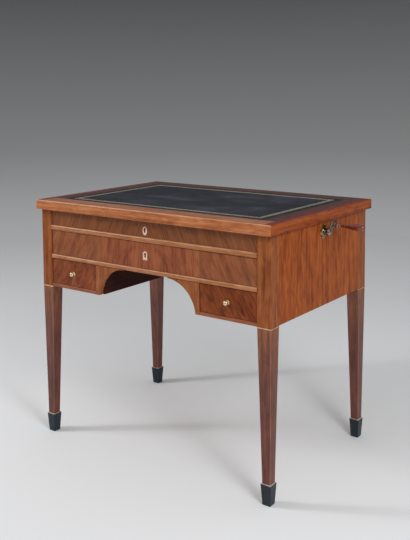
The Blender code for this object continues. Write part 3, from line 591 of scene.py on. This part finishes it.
def make_top(looks):
    """The top: solid edges, a darker veneered border and the leather let in."""
    for side in ("left", "right"):
        low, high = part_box(f"top_end_{side}")
        bm = make_slab(low.x, high.x)
        # On the ends, the front and back faces take the lighter edge wood and the sides the darker end wood:
        # painted light and shade
        for face in bm.faces:
            front = abs(face.normal.y) > abs(face.normal.x)
            # The upper front and back arris takes the rubbed finish, a painted highlight
            face.material_index = (1 if face.normal.z > LEVEL else 3 if front and face.normal.z > UPPER
                                   else 2 if front and face.normal.z > UNDER else 0)
        woods = [looks[wood] for wood in ("end", "end_border", "top", "rubbed")]
        finish(f"top_end_{side}_dressed", bm, woods, f"top_end_{side}")
    bm = make_slab(TOP_LOW.x, TOP_HIGH.x)
    low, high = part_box("leather")
    for axis in (0, 1):
        for limit in (low[axis] - FIT, high[axis] + FIT):
            normal = Vector((0.0, 0.0, 0.0))
            normal[axis] = 1.0
            split(bm, normal * limit, normal)
    for face in bm.faces:
        # The front border's level faces take the paler veneer, a painted reflection
        level, front = face.normal.z > LEVEL, face.calc_center_median().y < low.y
        # Rubbed here is a painted highlight on the upper arris
        face.material_index = 3 if level and front else 1 if level else 2 if face.normal.z > UPPER else 0
    seat = [f for f in bm.faces if f.normal.z > LEVEL and low.x < f.calc_center_median().x < high.x
            and low.y < f.calc_center_median().y < high.y]
    sunk = bmesh.ops.extrude_face_region(bm, geom=seat)["geom"]
    bmesh.ops.delete(bm, geom=seat, context="FACES")
    bmesh.ops.translate(bm, verts=verts_of(sunk), vec=(0.0, 0.0, low.z - FIT - TOP_HIGH.z))
    woods = [looks[wood] for wood in ("top", "border", "rubbed", "front_border")]
    finish("top_panel_dressed", bm, woods, "top_panel")
    bm = bmesh.new()
    add_board(bm, low, high, LEATHER_ARRIS)
    finish("leather_dressed", bm, [looks["leather"]], "leather")
    make_gilding(low, high, looks["gilt"])


def add_frame(bm, low, high, width, rise):
    """A flat rectangular frame lying at low's height."""
    flat = bmesh.ops.create_grid(bm, x_segments=1, y_segments=1, size=0.5)["verts"]
    size = (high.x - low.x, high.y - low.y, 1.0)
    bmesh.ops.scale(bm, vec=size, verts=flat)
    bmesh.ops.translate(bm, vec=((low.x + high.x) / 2, (low.y + high.y) / 2, low.z), verts=flat)
    inner = flat[0].link_faces[0]
    ring = bmesh.ops.inset_region(bm, faces=[inner], thickness=width, use_boundary=True,
                                  use_even_offset=True)["faces"]
    bmesh.ops.delete(bm, geom=[inner], context="FACES")
    raised = bmesh.ops.extrude_face_region(bm, geom=ring)["geom"]
    bmesh.ops.translate(bm, verts=verts_of(raised), vec=(0.0, 0.0, rise))


def make_gilding(low, high, look):
    """Two gilt fillets with a roll of small lozenges between them, pressed into the leather."""
    bm = bmesh.new()
    top = high.z
    for inset in FILLET_INSETS:
        border = Vector((inset, inset, 0.0))
        add_frame(bm, Vector((low.x, low.y, top)) + border, Vector((high.x, high.y, top)) - border,
                  FILLET_WIDTH, GILT_RISE)
    for axis in (0, 1):
        other = 1 - axis
        start, end = low[axis] + LOZENGE_INSET, high[axis] - LOZENGE_INSET
        count = round((end - start) / LOZENGE_PITCH)
        for i in range(count + 1):
            for edge in (low[other] + LOZENGE_INSET, high[other] - LOZENGE_INSET):
                leaf = bmesh.ops.create_circle(bm, cap_ends=True, segments=6, radius=LOZENGE_RADIUS)["verts"]
                size = [1.0, 1.0, 1.0]
                size[axis] = LOZENGE_STRETCH
                bmesh.ops.scale(bm, vec=size, verts=leaf)
                place = [0.0, 0.0, top]
                place[axis] = start + (end - start) * i / count
                place[other] = edge
                bmesh.ops.translate(bm, vec=place, verts=leaf)
                raised = bmesh.ops.extrude_face_region(bm, geom=[leaf[0].link_faces[0]])["geom"]
                bmesh.ops.translate(bm, verts=verts_of(raised), vec=(0.0, 0.0, GILT_RISE))
    bmesh.ops.recalc_face_normals(bm, faces=bm.faces)
    mesh = bpy.data.meshes.new("gilt_border")
    bm.to_mesh(mesh)
    bm.free()
    mesh.materials.append(look)
    made = bpy.data.objects.new("gilt_border", mesh)
    bpy.context.scene.collection.objects.link(made)
    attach(made, "top")


def add_stack(bm, corner, signs, sections):
    """Square sections (height, near, far), measured inwards from an outer corner, each grown from the last."""
    ring = bmesh.ops.create_grid(bm, x_segments=1, y_segments=1, size=0.5)["verts"]
    face = ring[0].link_faces[0]
    centre = Vector((0.0, 0.0, 0.0))
    for step, (height, near, far) in enumerate(sections):
        if step:
            grown = bmesh.ops.extrude_face_region(bm, geom=[face])["geom"]
            if step > 1:
                bmesh.ops.delete(bm, geom=[face], context="FACES_ONLY")
            ring = verts_of(grown)
            face = next(f for f in grown if isinstance(f, bmesh.types.BMFace))
        inwards, half = (near + far) / 2, (far - near) / 2
        middle = Vector((corner.x + signs[0] * inwards, corner.y + signs[1] * inwards, height))
        for vert in ring:
            vert.co = (middle.x + math.copysign(half, vert.co.x - centre.x),
                       middle.y + math.copysign(half, vert.co.y - centre.y), height)
        centre = middle


def make_legs(looks):
    """Square legs that taper below the case, each with its brass string and black foot."""
    for where in CORNERS:
        end, side = where.split("_")
        low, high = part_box(f"leg_{where}")
        band_low, band_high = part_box(f"string_{where}")
        foot_low, foot_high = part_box(f"foot_{where}")
        signs = (-1 if side == "right" else 1, 1 if end == "front" else -1)
        corner = Vector((high.x if signs[0] < 0 else low.x, low.y if signs[1] > 0 else high.y, 0.0))
        wide = high.x - low.x
        inset = abs((foot_low.x + foot_high.x) / 2 - corner.x)
        groove = (STRING_DEPTH, wide - STRING_DEPTH)
        floor, roof = band_low.z - FIT, band_high.z + FIT
        bm = bmesh.new()
        add_stack(bm, corner, signs, [(low.z, inset - LEG_END / 2, inset + LEG_END / 2),
                                      (floor, 0.0, wide), (floor, *groove), (roof, *groove),
                                      (roof, 0.0, wide), (high.z, 0.0, wide)])
        upright = [e for e in bm.edges if abs(e.verts[0].co.z - e.verts[1].co.z) > LONG_EDGE]
        rounded = set(soften(bm, upright, LEG_ARRIS, 3)["faces"])
        # Below the string the rounded arrises take a lighter copy: wear and a painted highlight
        for face in bm.faces:
            if face.calc_center_median().z < floor:
                face.material_index = 2 if face in rounded else 1
        woods = [looks[wood] for wood in ("leg", "lower_leg", "lower_arris")]
        finish(f"leg_{where}_dressed", bm, woods, f"leg_{where}")
        bm = bmesh.new()
        half = (foot_high.x - foot_low.x) / 2
        add_stack(bm, corner, signs, [(0.0, inset - FOOT_BASE / 2, inset + FOOT_BASE / 2),
                                      (foot_high.z, inset - half, inset + half)])
        soften(bm, bm.edges, FOOT_ARRIS, 3)
        # The foot's top face is painted pale, a painted highlight
        for face in bm.faces:
            face.material_index = int(face.normal.z > LEDGE)
        finish(f"foot_{where}_dressed", bm, [looks["foot"], looks["ledge"]], f"foot_{where}")
        bm = bmesh.new()
        add_frame(bm, band_low, band_high, STRING_DEPTH + STRING_LAP, band_high.z - band_low.z)
        soften(bm, bm.edges, STRING_ARRIS)
        finish(f"string_{where}_dressed", bm, [looks["string"]], f"string_{where}")


def make_rails(looks):
    """Rails with a full round nose, standing a little proud of the legs."""
    for name in ("upper_rail", "lower_rail"):
        low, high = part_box(name)
        bm = bmesh.new()
        verts = add_block(bm, low, high)
        nose = [e for e in edges_of(verts) if all(abs(v.co.y - low.y) < 1e-5 for v in e.verts)
                and abs(e.verts[0].co.x - e.verts[1].co.x) > LONG_EDGE]
        soften(bm, nose, RAIL_NOSE, 6)
        for face in bm.faces:
            # The upper front of the nose takes a lighter copy of the rail's wood, a painted highlight
            face.material_index = int(face.normal.z > NOSE and face.normal.y < -NOSE)
        finish(f"{name}_dressed", bm, [looks["rail"], looks["rail_nose"]], name)


def make_arch(looks):
    """The stiles and the spandrels under the lower rail, cut together by the arc of the arch."""
    for side, sign in SIDES:
        low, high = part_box(f"spandrel_{side}")
        middle = Vector((low.x if sign > 0 else high.x, low.y, high.z - ARCH_LIP - ARCH_RADIUS))
        for name in ("stile", "spandrel"):
            bm = bmesh.new()
            add_board(bm, *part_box(f"{name}_{side}"), THIN_ARRIS)
            made = finish(f"{name}_{side}_dressed", bm, [looks[name]], f"{name}_{side}", even=False)
            cut = bmesh.new()
            lying = Matrix.Translation(middle) @ Matrix.Rotation(math.pi / 2, 4, "X")
            bmesh.ops.create_cone(cut, cap_ends=True, segments=ARCH_STEPS, radius1=ARCH_RADIUS,
                                  radius2=ARCH_RADIUS, depth=0.1, matrix=lying)
            carve(made, cut)
            made.data.set_sharp_from_angle(angle=math.radians(30))
            even_shading(made)


def add_outline(bm, points, axis, low, high):
    """A board cut to an outline of a few corners in the other two axes, with softened arrises."""
    others = [i for i in range(3) if i != axis]
    ring = []
    for first, second in points:
        place = [0.0, 0.0, 0.0]
        place[others[0]], place[others[1]], place[axis] = first, second, low
        ring.append(bm.verts.new(place))
    face = bm.faces.new(ring)
    raised = bmesh.ops.extrude_face_region(bm, geom=[face])["geom"]
    step = [0.0, 0.0, 0.0]
    step[axis] = high - low
    bmesh.ops.translate(bm, verts=verts_of(raised), vec=step)
    soften(bm, bm.edges)


def make_back_and_bottoms(looks):
    """The back, cut out for the kneehole, and the boards under the small drawers, notched round the legs."""
    low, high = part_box("back_panel")
    knee = [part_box(f"kneehole_board_{side}") for side in ("left", "right")]
    left, right, arch = knee[0][1].x, knee[1][0].x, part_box("lower_rail")[0].z
    bm = bmesh.new()
    add_outline(bm, [(low.x, low.z), (low.x, high.z), (high.x, high.z), (high.x, low.z), (right, low.z),
                     (right, arch), (left, arch), (left, low.z)], 1, low.y, high.y)
    finish("back_panel_dressed", bm, [looks["back"]], "back_panel")
    for side, sign in SIDES:
        low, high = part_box(f"bottom_board_{side}")
        leg_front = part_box(f"leg_front_{side}")[1].y + FIT
        leg_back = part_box(f"leg_back_{side}")[0].y - FIT
        inner, outer = (low.x, high.x) if sign > 0 else (high.x, low.x)
        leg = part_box(f"small_drawer_{side}_front")[1 if sign > 0 else 0].x + sign * DRAWER_FIT
        bm = bmesh.new()
        add_outline(bm, [(inner, low.y), (leg, low.y), (leg, leg_front), (outer, leg_front),
                         (outer, leg_back), (leg, leg_back), (leg, high.y), (inner, high.y)],
                    2, low.z, high.z)
        finish(f"bottom_board_{side}_dressed", bm, [looks["bottom"]], f"bottom_board_{side}")


def add_tails(bm, side_x, joint, low, high):
    """Dovetails of a drawer's side, let into the end of its front."""
    count = max(2, round((high - low) / TAIL_PITCH))
    step = (high - low) / count
    for i in range(count):
        middle = low + (i + 0.5) * step
        verts = add_block(bm, (side_x[0], joint - TAIL_DEPTH, middle - TAIL_HALF * step),
                          (side_x[1], joint + TAIL_LAP, middle + TAIL_HALF * step))
        for vert in verts:
            if vert.co.y > joint:
                vert.co.z = middle + TAIL_WAIST * (vert.co.z - middle)


def make_drawers(looks):
    """Oak boxes with dovetailed corners behind veneered fronts."""
    for name in ("upper_drawer", "wide_drawer", "small_drawer_left", "small_drawer_right"):
        low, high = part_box(f"{name}_box")
        left, right, back = low.x + BOX_WALL, high.x - BOX_WALL, high.y - BOX_WALL
        bm = bmesh.new()
        for x, outer in (((low.x, left), (low.x - TAIL_PROUD, left - TAIL_INNER)),
                         ((right, high.x), (right + TAIL_INNER, high.x + TAIL_PROUD))):
            add_board(bm, (x[0], low.y, low.z), (x[1], high.y, high.z), BOX_ARRIS)
            add_tails(bm, outer, low.y - 0.0001, low.z + 0.003, high.z - 0.001)
        add_board(bm, (left, back, low.z), (right, high.y, high.z - BACK_DROP), BOX_ARRIS, 1)
        add_board(bm, (left, low.y, low.z), (right, back, low.z + BOX_FLOOR), BOX_FLOOR_ARRIS, 1)
        finish(f"{name}_box_dressed", bm, [looks["oak_y"], looks["oak_x"]], f"{name}_box")


def make_locked_fronts(looks):
    """The two wide fronts, each with a bone plate let in round its keyhole."""
    for name, veneers in (("upper_drawer", ("upper",)),
                          ("wide_drawer", ("wide_outer", "wide_strip", "wide_middle"))):
        plate_low, plate_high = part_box(f"{name}_keyhole_plate")
        middle, size = (plate_low + plate_high) / 2, plate_high - plate_low
        bm = bmesh.new()
        add_board(bm, *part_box(f"{name}_front"))
        if len(veneers) > 1:
            for joint in (*VENEER_JOINTS, *(-j for j in VENEER_JOINTS)):
                split(bm, (MIDDLE.x + joint, 0, 0), (1, 0, 0))
            for face in bm.faces:
                away = abs(face.calc_center_median().x - MIDDLE.x)
                face.material_index = sum(away < joint for joint in VENEER_JOINTS)
        front = finish(f"{name}_front_dressed", bm, [looks[veneer] for veneer in veneers], f"{name}_front",
                       even=False)
        bm = bmesh.new()
        if name == "upper_drawer":
            bmesh.ops.create_cone(bm, cap_ends=True, segments=64, radius1=1.0, radius2=1.0, depth=1.0)
            bmesh.ops.rotate(bm, verts=bm.verts, matrix=Matrix.Rotation(math.pi / 2, 3, "X"))
            bmesh.ops.scale(bm, verts=bm.verts, vec=(size.x / 2, size.y, size.z / 2))
            bmesh.ops.translate(bm, verts=bm.verts, vec=middle)
        else:
            verts = add_block(bm, plate_low, plate_high)
            head = [e for e in edges_of(verts) if all(v.co.z > middle.z for v in e.verts)
                    and abs(e.verts[0].co.y - e.verts[1].co.y) > 1e-4]
            # Just under half, so that the two rounded corners nearly meet
            soften(bm, head, 0.498 * size.x, 12)
        rim = [e for e in bm.edges if all(abs(v.co.y - plate_low.y) < 1e-6 for v in e.verts)]
        soften(bm, rim, PLATE_RIM)
        plate = finish(f"{name}_keyhole_plate_dressed", bm, [looks["bone"]], f"{name}_keyhole_plate",
                       even=False)
        lying = (Matrix.Translation(middle + Vector((0.0, 0.0, KEY_RISE)))
                 @ Matrix.Rotation(math.pi / 2, 4, "X"))
        for made, deep in ((plate, 0.02), (front, 0.08)):
            eye = bmesh.new()
            bmesh.ops.create_cone(eye, cap_ends=True, segments=32, radius1=KEY_EYE, radius2=KEY_EYE,
                                  depth=deep, matrix=lying)
            carve(made, eye)
            slot = bmesh.new()
            reach = Vector((KEY_SLOT, deep / 2, KEY_RISE))
            add_block(slot, middle - reach, middle + reach)
            carve(made, slot)
        even_shading(front)


def make_knobs(looks):
    """Turned brass knobs: a flange, a thin neck and a ball flattened in front."""
    ball = [(BALL_MIDDLE + BALL_DEPTH * math.sin(a), BALL_RADIUS * math.cos(a)) for a in
            (math.radians(-48 + 138 * i / BALL_STEPS) for i in range(BALL_STEPS))]
    flange = [(0.0, 0.0), (0.0, 0.0060), (0.0008, 0.0063), (0.0016, 0.0060)]
    neck = [(0.0022, 0.0046), (0.0030, 0.0036), (0.0042, 0.0035)]
    profile = flange + neck + ball + [(0.0164, 0.0)]
    for side, _ in SIDES:
        low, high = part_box(f"knob_{side}")
        bm = bmesh.new()
        turn_profile(bm, profile, Vector(((low.x + high.x) / 2, high.y, (low.z + high.z) / 2)), "-Y")
        finish(f"knob_{side}_dressed", bm, [looks["knob"]], f"knob_{side}", even=False)


def make_crank(looks):
    """A moulded brass plate, a swan-necked steel arm with its nut, and a turned grip in a brass ferrule."""
    low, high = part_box("crank_plate")
    axis = Vector((0.0, (low.y + high.y) / 2, (low.z + high.z) / 2))
    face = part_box("side_panel_right")[1].x + FIT
    wide = (high.y - low.y) / 2
    bm = bmesh.new()
    profile = [(0.0, PLATE_BORE), (0.0, wide), (0.0012, wide), (0.0020, 0.95 * wide), (0.0022, 0.88 * wide),
               (0.0030, 0.84 * wide), (0.0034, 0.76 * wide), (0.0034, 0.66 * wide), (0.0042, 0.60 * wide),
               (0.0053, 0.58 * wide), (0.0055, 0.54 * wide), (0.0055, PLATE_BORE)]
    turn_profile(bm, profile + profile[:1], Vector((face, axis.y, axis.z)), "+X")
    finish("crank_plate_dressed", bm, [looks["plate"]], "crank_plate", even=False)

    low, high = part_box("ferrule")
    eye = Vector((0.0, (low.y + high.y) / 2, (low.z + high.z) / 2))
    arm_out = low.x - FIT
    arm_in = arm_out - ARM_THICKNESS
    line = bpy.data.curves.new("arm_line", "CURVE")
    line.dimensions = "3D"
    line.bevel_depth = ARM_RADIUS
    line.bevel_resolution = 6
    line.resolution_u = 24
    line.use_fill_caps = True
    spline = line.splines.new("BEZIER")
    spline.bezier_points.add(1)
    reach, rise = eye.y - axis.y, eye.z - axis.z
    shape = ((0.0, 0.0, 0.39 * reach, 0.4 * ARM_CROWN, ARM_HUB_SWELL),
             (reach, rise, 0.95 * reach, ARM_CROWN, ARM_EYE_SWELL))
    for point, (y, z, pull_y, pull_z, radius) in zip(spline.bezier_points, shape):
        point.co = (0.0, y, z)
        point.handle_left_type = point.handle_right_type = "FREE"
        point.handle_left = point.handle_right = (0.0, pull_y, pull_z)
        point.radius = radius
    swept = bpy.data.objects.new("arm_line", line)
    bpy.context.scene.collection.objects.link(swept)
    bpy.context.view_layer.update()
    bm = bmesh.new()
    bm.from_mesh(swept.evaluated_get(bpy.context.evaluated_depsgraph_get()).to_mesh())
    bpy.data.objects.remove(swept)
    bmesh.ops.remove_doubles(bm, verts=bm.verts, dist=1e-6)
    bmesh.ops.scale(bm, vec=(ARM_FLATTEN, 1.0, 1.0), verts=bm.verts)
    bmesh.ops.translate(bm, vec=((arm_in + arm_out) / 2, axis.y, axis.z), verts=bm.verts)
    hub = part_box("crank_arm")[0].x
    nut = arm_out - hub
    turn_profile(bm, [(0.0, 0.0), (0.0, 0.0098), (0.0008, 0.0105), (nut - 0.0022, 0.0105),
                      (nut - 0.0010, 0.0098), (nut - 0.0006, 0.0080), (nut + 0.0012, 0.0074),
                      (nut + 0.0022, 0.0052), (nut + 0.0026, 0.0)], Vector((hub, axis.y, axis.z)), "+X")
    turn_profile(bm, [(0.0, 0.0), (0.0, 0.0060), (0.0008, 0.0069), (0.0062, 0.0069), (0.0070, 0.0060),
                      (0.0070, 0.0)], Vector((arm_in, eye.y, eye.z)), "+X")
    finish("crank_arm_dressed", bm, [looks["steel"]], "crank_arm", even=False)

    length = high.x - low.x
    bm = bmesh.new()
    turn_profile(bm, [(0.0, 0.0), (0.0, 0.0050), (0.0006, 0.0056), (0.0022, 0.0056), (0.0028, 0.0050),
                      (0.0036, 0.0050), (0.0044, 0.0055), (length - 0.0012, 0.0051), (length, 0.0046),
                      (length, 0.0)], Vector((low.x, eye.y, eye.z)), "+X")
    finish("ferrule_dressed", bm, [looks["ferrule"]], "ferrule", even=False)
    low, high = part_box("grip")
    length = high.x - low.x
    profile = [(0.0, 0.0)]
    for i in range(GRIP_STEPS + 1):
        t = i / GRIP_STEPS
        if t < GRIP_SWELL:
            rise = t / GRIP_SWELL
            radius = GRIP_NECK + (GRIP_RADIUS - GRIP_NECK) * rise * rise * (3 - 2 * rise)
        else:
            radius = GRIP_RADIUS * math.sqrt(max(0.0, 1 - ((t - GRIP_SWELL) / (1 - GRIP_SWELL)) ** 2))
        profile.append((length * t, radius))
    bm = bmesh.new()
    turn_profile(bm, profile, Vector((low.x, eye.y, eye.z)), "+X")
    finish("grip_dressed", bm, [looks["grip"]], "grip", even=False)


def dress_plain_nodes(looks):
    """Finishes for the solids inside the case, whose shapes are right as they are."""
    plain = {"oak_z": [f"post_{where}" for where in CORNERS],
             "oak_y": ["lift_guide_left", "lift_guide_right"],
             "ground_steel": ["rack_left", "rack_right", "shaft"],
             "brass": ["pinion_left", "pinion_right", "shaft_bearing"],
             "lock": ["upper_drawer_lock", "wide_drawer_lock"]}
    for look, names in plain.items():
        for name in names:
            NODES[name].data.materials.clear()
            NODES[name].data.materials.append(looks[look])


def make_looks():
    """Every finish by the name of what it covers. Their colours are tuned to the photograph."""
    middle = MIDDLE.x
    foot_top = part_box("foot_front_left")[1].z
    return {
        # The top: edges of solid wood, lighter on the front and back and darker on the sides as painted light
        # and shade, borders of plum-coloured veneer, the front one painted paler as a reflection
        "top": mahogany("front_faces_painted_light_mahogany", "#864624", "#b0673c", "#ca8957", 0, 0.012, 0.45),
        # The sides of the edge in a darker copy: painted shade
        "end": mahogany("side_faces_painted_shade_mahogany", "#6a2b0d", "#914319", "#aa5a28", 1, 0.012, 0.45, polish=0.15),
        "border": mahogany("border_veneer", "#3b1a16", "#55271f", "#6b382f", 0, 0.010, 0.35, polish=0.35),
        # Painted reflection: the front border written paler than the others
        "front_border": mahogany("front_border_painted_sheen", "#8c4f33", "#a86a4a", "#bd8769", 0, 0.006, 0.40,
                                 polish=0.2),
        "end_border": mahogany("end_border_veneer", "#4a1a17", "#722f29", "#8a4039", 1, 0.010, 0.35,
                               polish=0.28),
        # A painted highlight: a lighter copy of the edge wood on the upper arris
        "rubbed": mahogany("top_arris_painted_highlight", "#9a6a48", "#bd8d68", "#cfa684", 0, 0.003, 0.05),
        # The case: orange sides, legs painted plum lower down as a reflection of the floor, paler rails with a
        # painted highlight on the nose, lower arrises worn and painted lighter as a highlight, and the feet's
        # top faces painted pale as a highlight
        "side": mahogany("side_mahogany", "#662709", "#974815", "#b26026", 2, 0.020, 0.26, swirl=1.0,
                         polish=0.12),
        "leg": mahogany("leg_mahogany", "#662d13", "#8d4c24", "#a46334", 2, 0.014, 0.30, polish=0.18),
        # Lower legs in a darker copy tinted plum towards the floor: a painted reflection of the floor
        "lower_leg": mahogany("lower_leg_mahogany_painted_sheen", "#592d1a", "#7d4526", "#955c36", 2, 0.010, 0.20,
                              polish=0.45, stain=("#cfbdee", 0.33, 0.475)),
        # Worn arrises, also painted lighter as the highlight they catch
        "lower_arris": mahogany("lower_arris_wear_and_highlight", "#7c4a33", "#945f46", "#a6745a", 2, 0.004, 0.20),
        # Painted highlight: the feet's top faces written pale
        "ledge": mahogany("foot_ledge_painted_highlight", "#b3a598", "#d8cec4", "#e8e0d8", 2, 0.004, 0.02, gloss=0.4),
        "rail": mahogany("rail_mahogany", "#844824", "#a5673f", "#bb8156", 0, 0.008, 0.40),
        # A painted highlight on the rail's nose
        "rail_nose": mahogany("rail_nose_painted_highlight", "#8f5a3a", "#b07c58", "#c39674", 0, 0.003, 0.10),
        "stile": mahogany("stile_mahogany", "#74391a", "#92522c", "#a96c40", 2, 0.006, 0.30, polish=0.2),
        "spandrel": mahogany("spandrel_mahogany", "#743b1a", "#905029", "#a66839", 2, 0.014, 0.20,
                             polish=0.2),
        # The drawers: leaning veneers matched about the middle, and darker flame veneer on the small ones
        "upper": mahogany("upper_veneer", "#603114", "#7c4522", "#8d5630", 2, 0.020, 0.20, lean=-24.0,
                          fold=middle),
        "wide_outer": mahogany("outer_veneer", "#69331a", "#894b28", "#9b5d36", 2, 0.016, 0.14, lean=-28.0,
                               fold=middle),
        "wide_strip": mahogany("strip_veneer", "#753e1f", "#91532e", "#a2663d", 2, 0.005, 0.30),
        "wide_middle": mahogany("middle_veneer", "#6a2e16", "#8c4826", "#9e5a34", 2, 0.030, 0.22, lean=-8.0,
                                fold=middle),
        "small_left": mahogany("left_flame_veneer", "#4f1e0e", "#7f3f22", "#985431", 2, 0.030, 0.10,
                               lean=32.0, swirl=1.6, polish=0.15),
        "small_right": mahogany("right_flame_veneer", "#4a1b0a", "#77381a", "#8f4e27", 2, 0.030, 0.10,
                                lean=-32.0, swirl=1.6, polish=0.12),
        # In shade or out of sight: dull kneehole boards painted dark as shade, bottoms, back, and dry oak
        # inside
        "kneehole": mahogany("kneehole_mahogany_painted_shade", "#27100b", "#371812", "#46241c", 1, 0.02, 0.40, gloss=0.60,
                             polish=0.1),
        "bottom": mahogany("bottom_mahogany", "#6f371c", "#8f5030", "#a36643", 0, 0.010, 0.40),
        "back": mahogany("back_mahogany", "#622c12", "#864420", "#9c5a30", 0, 0.022, 0.55),
        "oak_x": oak("oak_across", 0), "oak_y": oak("oak_deep", 1), "oak_z": oak("oak_upright", 2),
        # The grip: the glossiest wood, red-brown and rubbed by hands
        "grip": mahogany("grip_mahogany", "#4a170b", "#6d2a16", "#863d22", 0, 0.006, 0.08, gloss=0.10,
                         polish=1.0),
        # Metals: brass bright where it is handled and dark in the locks, browned steel, soft gilt
        "brass": metal("worn_brass", "#e6c893", "#9c7a4c", 0.30),
        "knob": metal("lacquered_brass", "#e9d5b2", "#c4a77e", 0.34),
        "plate": metal("tarnished_brass", "#c9a876", "#3b2a1b", 0.26, 0.007),
        "lock": metal("dark_brass", "#6b543a", "#2a2018", 0.45),
        "ferrule": metal("coppery_brass", "#f2c3a4", "#a9795a", 0.24, 0.006),
        "string": metal("brass_string", "#ffdcb8", "#d9af8a", 0.42),
        "steel": metal("old_steel", "#b0a69c", "#4a4440", 0.22, 0.008),
        "ground_steel": metal("ground_steel", "#a7a29c", "#837d77", 0.36),
        "gilt": metal("gilt_tooling", "#fff3d4", "#e0d2a8", 0.50, 0.006),
        "leather": dyed_leather(), "foot": black_stain(foot_top), "bone": polished_bone(),
    }


add_camera()
add_studio()
LOOKS = make_looks()
make_top(LOOKS)
make_legs(LOOKS)
make_boards(LOOKS)
make_rails(LOOKS)
make_arch(LOOKS)
make_back_and_bottoms(LOOKS)
make_drawers(LOOKS)
make_locked_fronts(LOOKS)
make_knobs(LOOKS)
make_crank(LOOKS)
dress_plain_nodes(LOOKS)
bpy.context.view_layer.update()
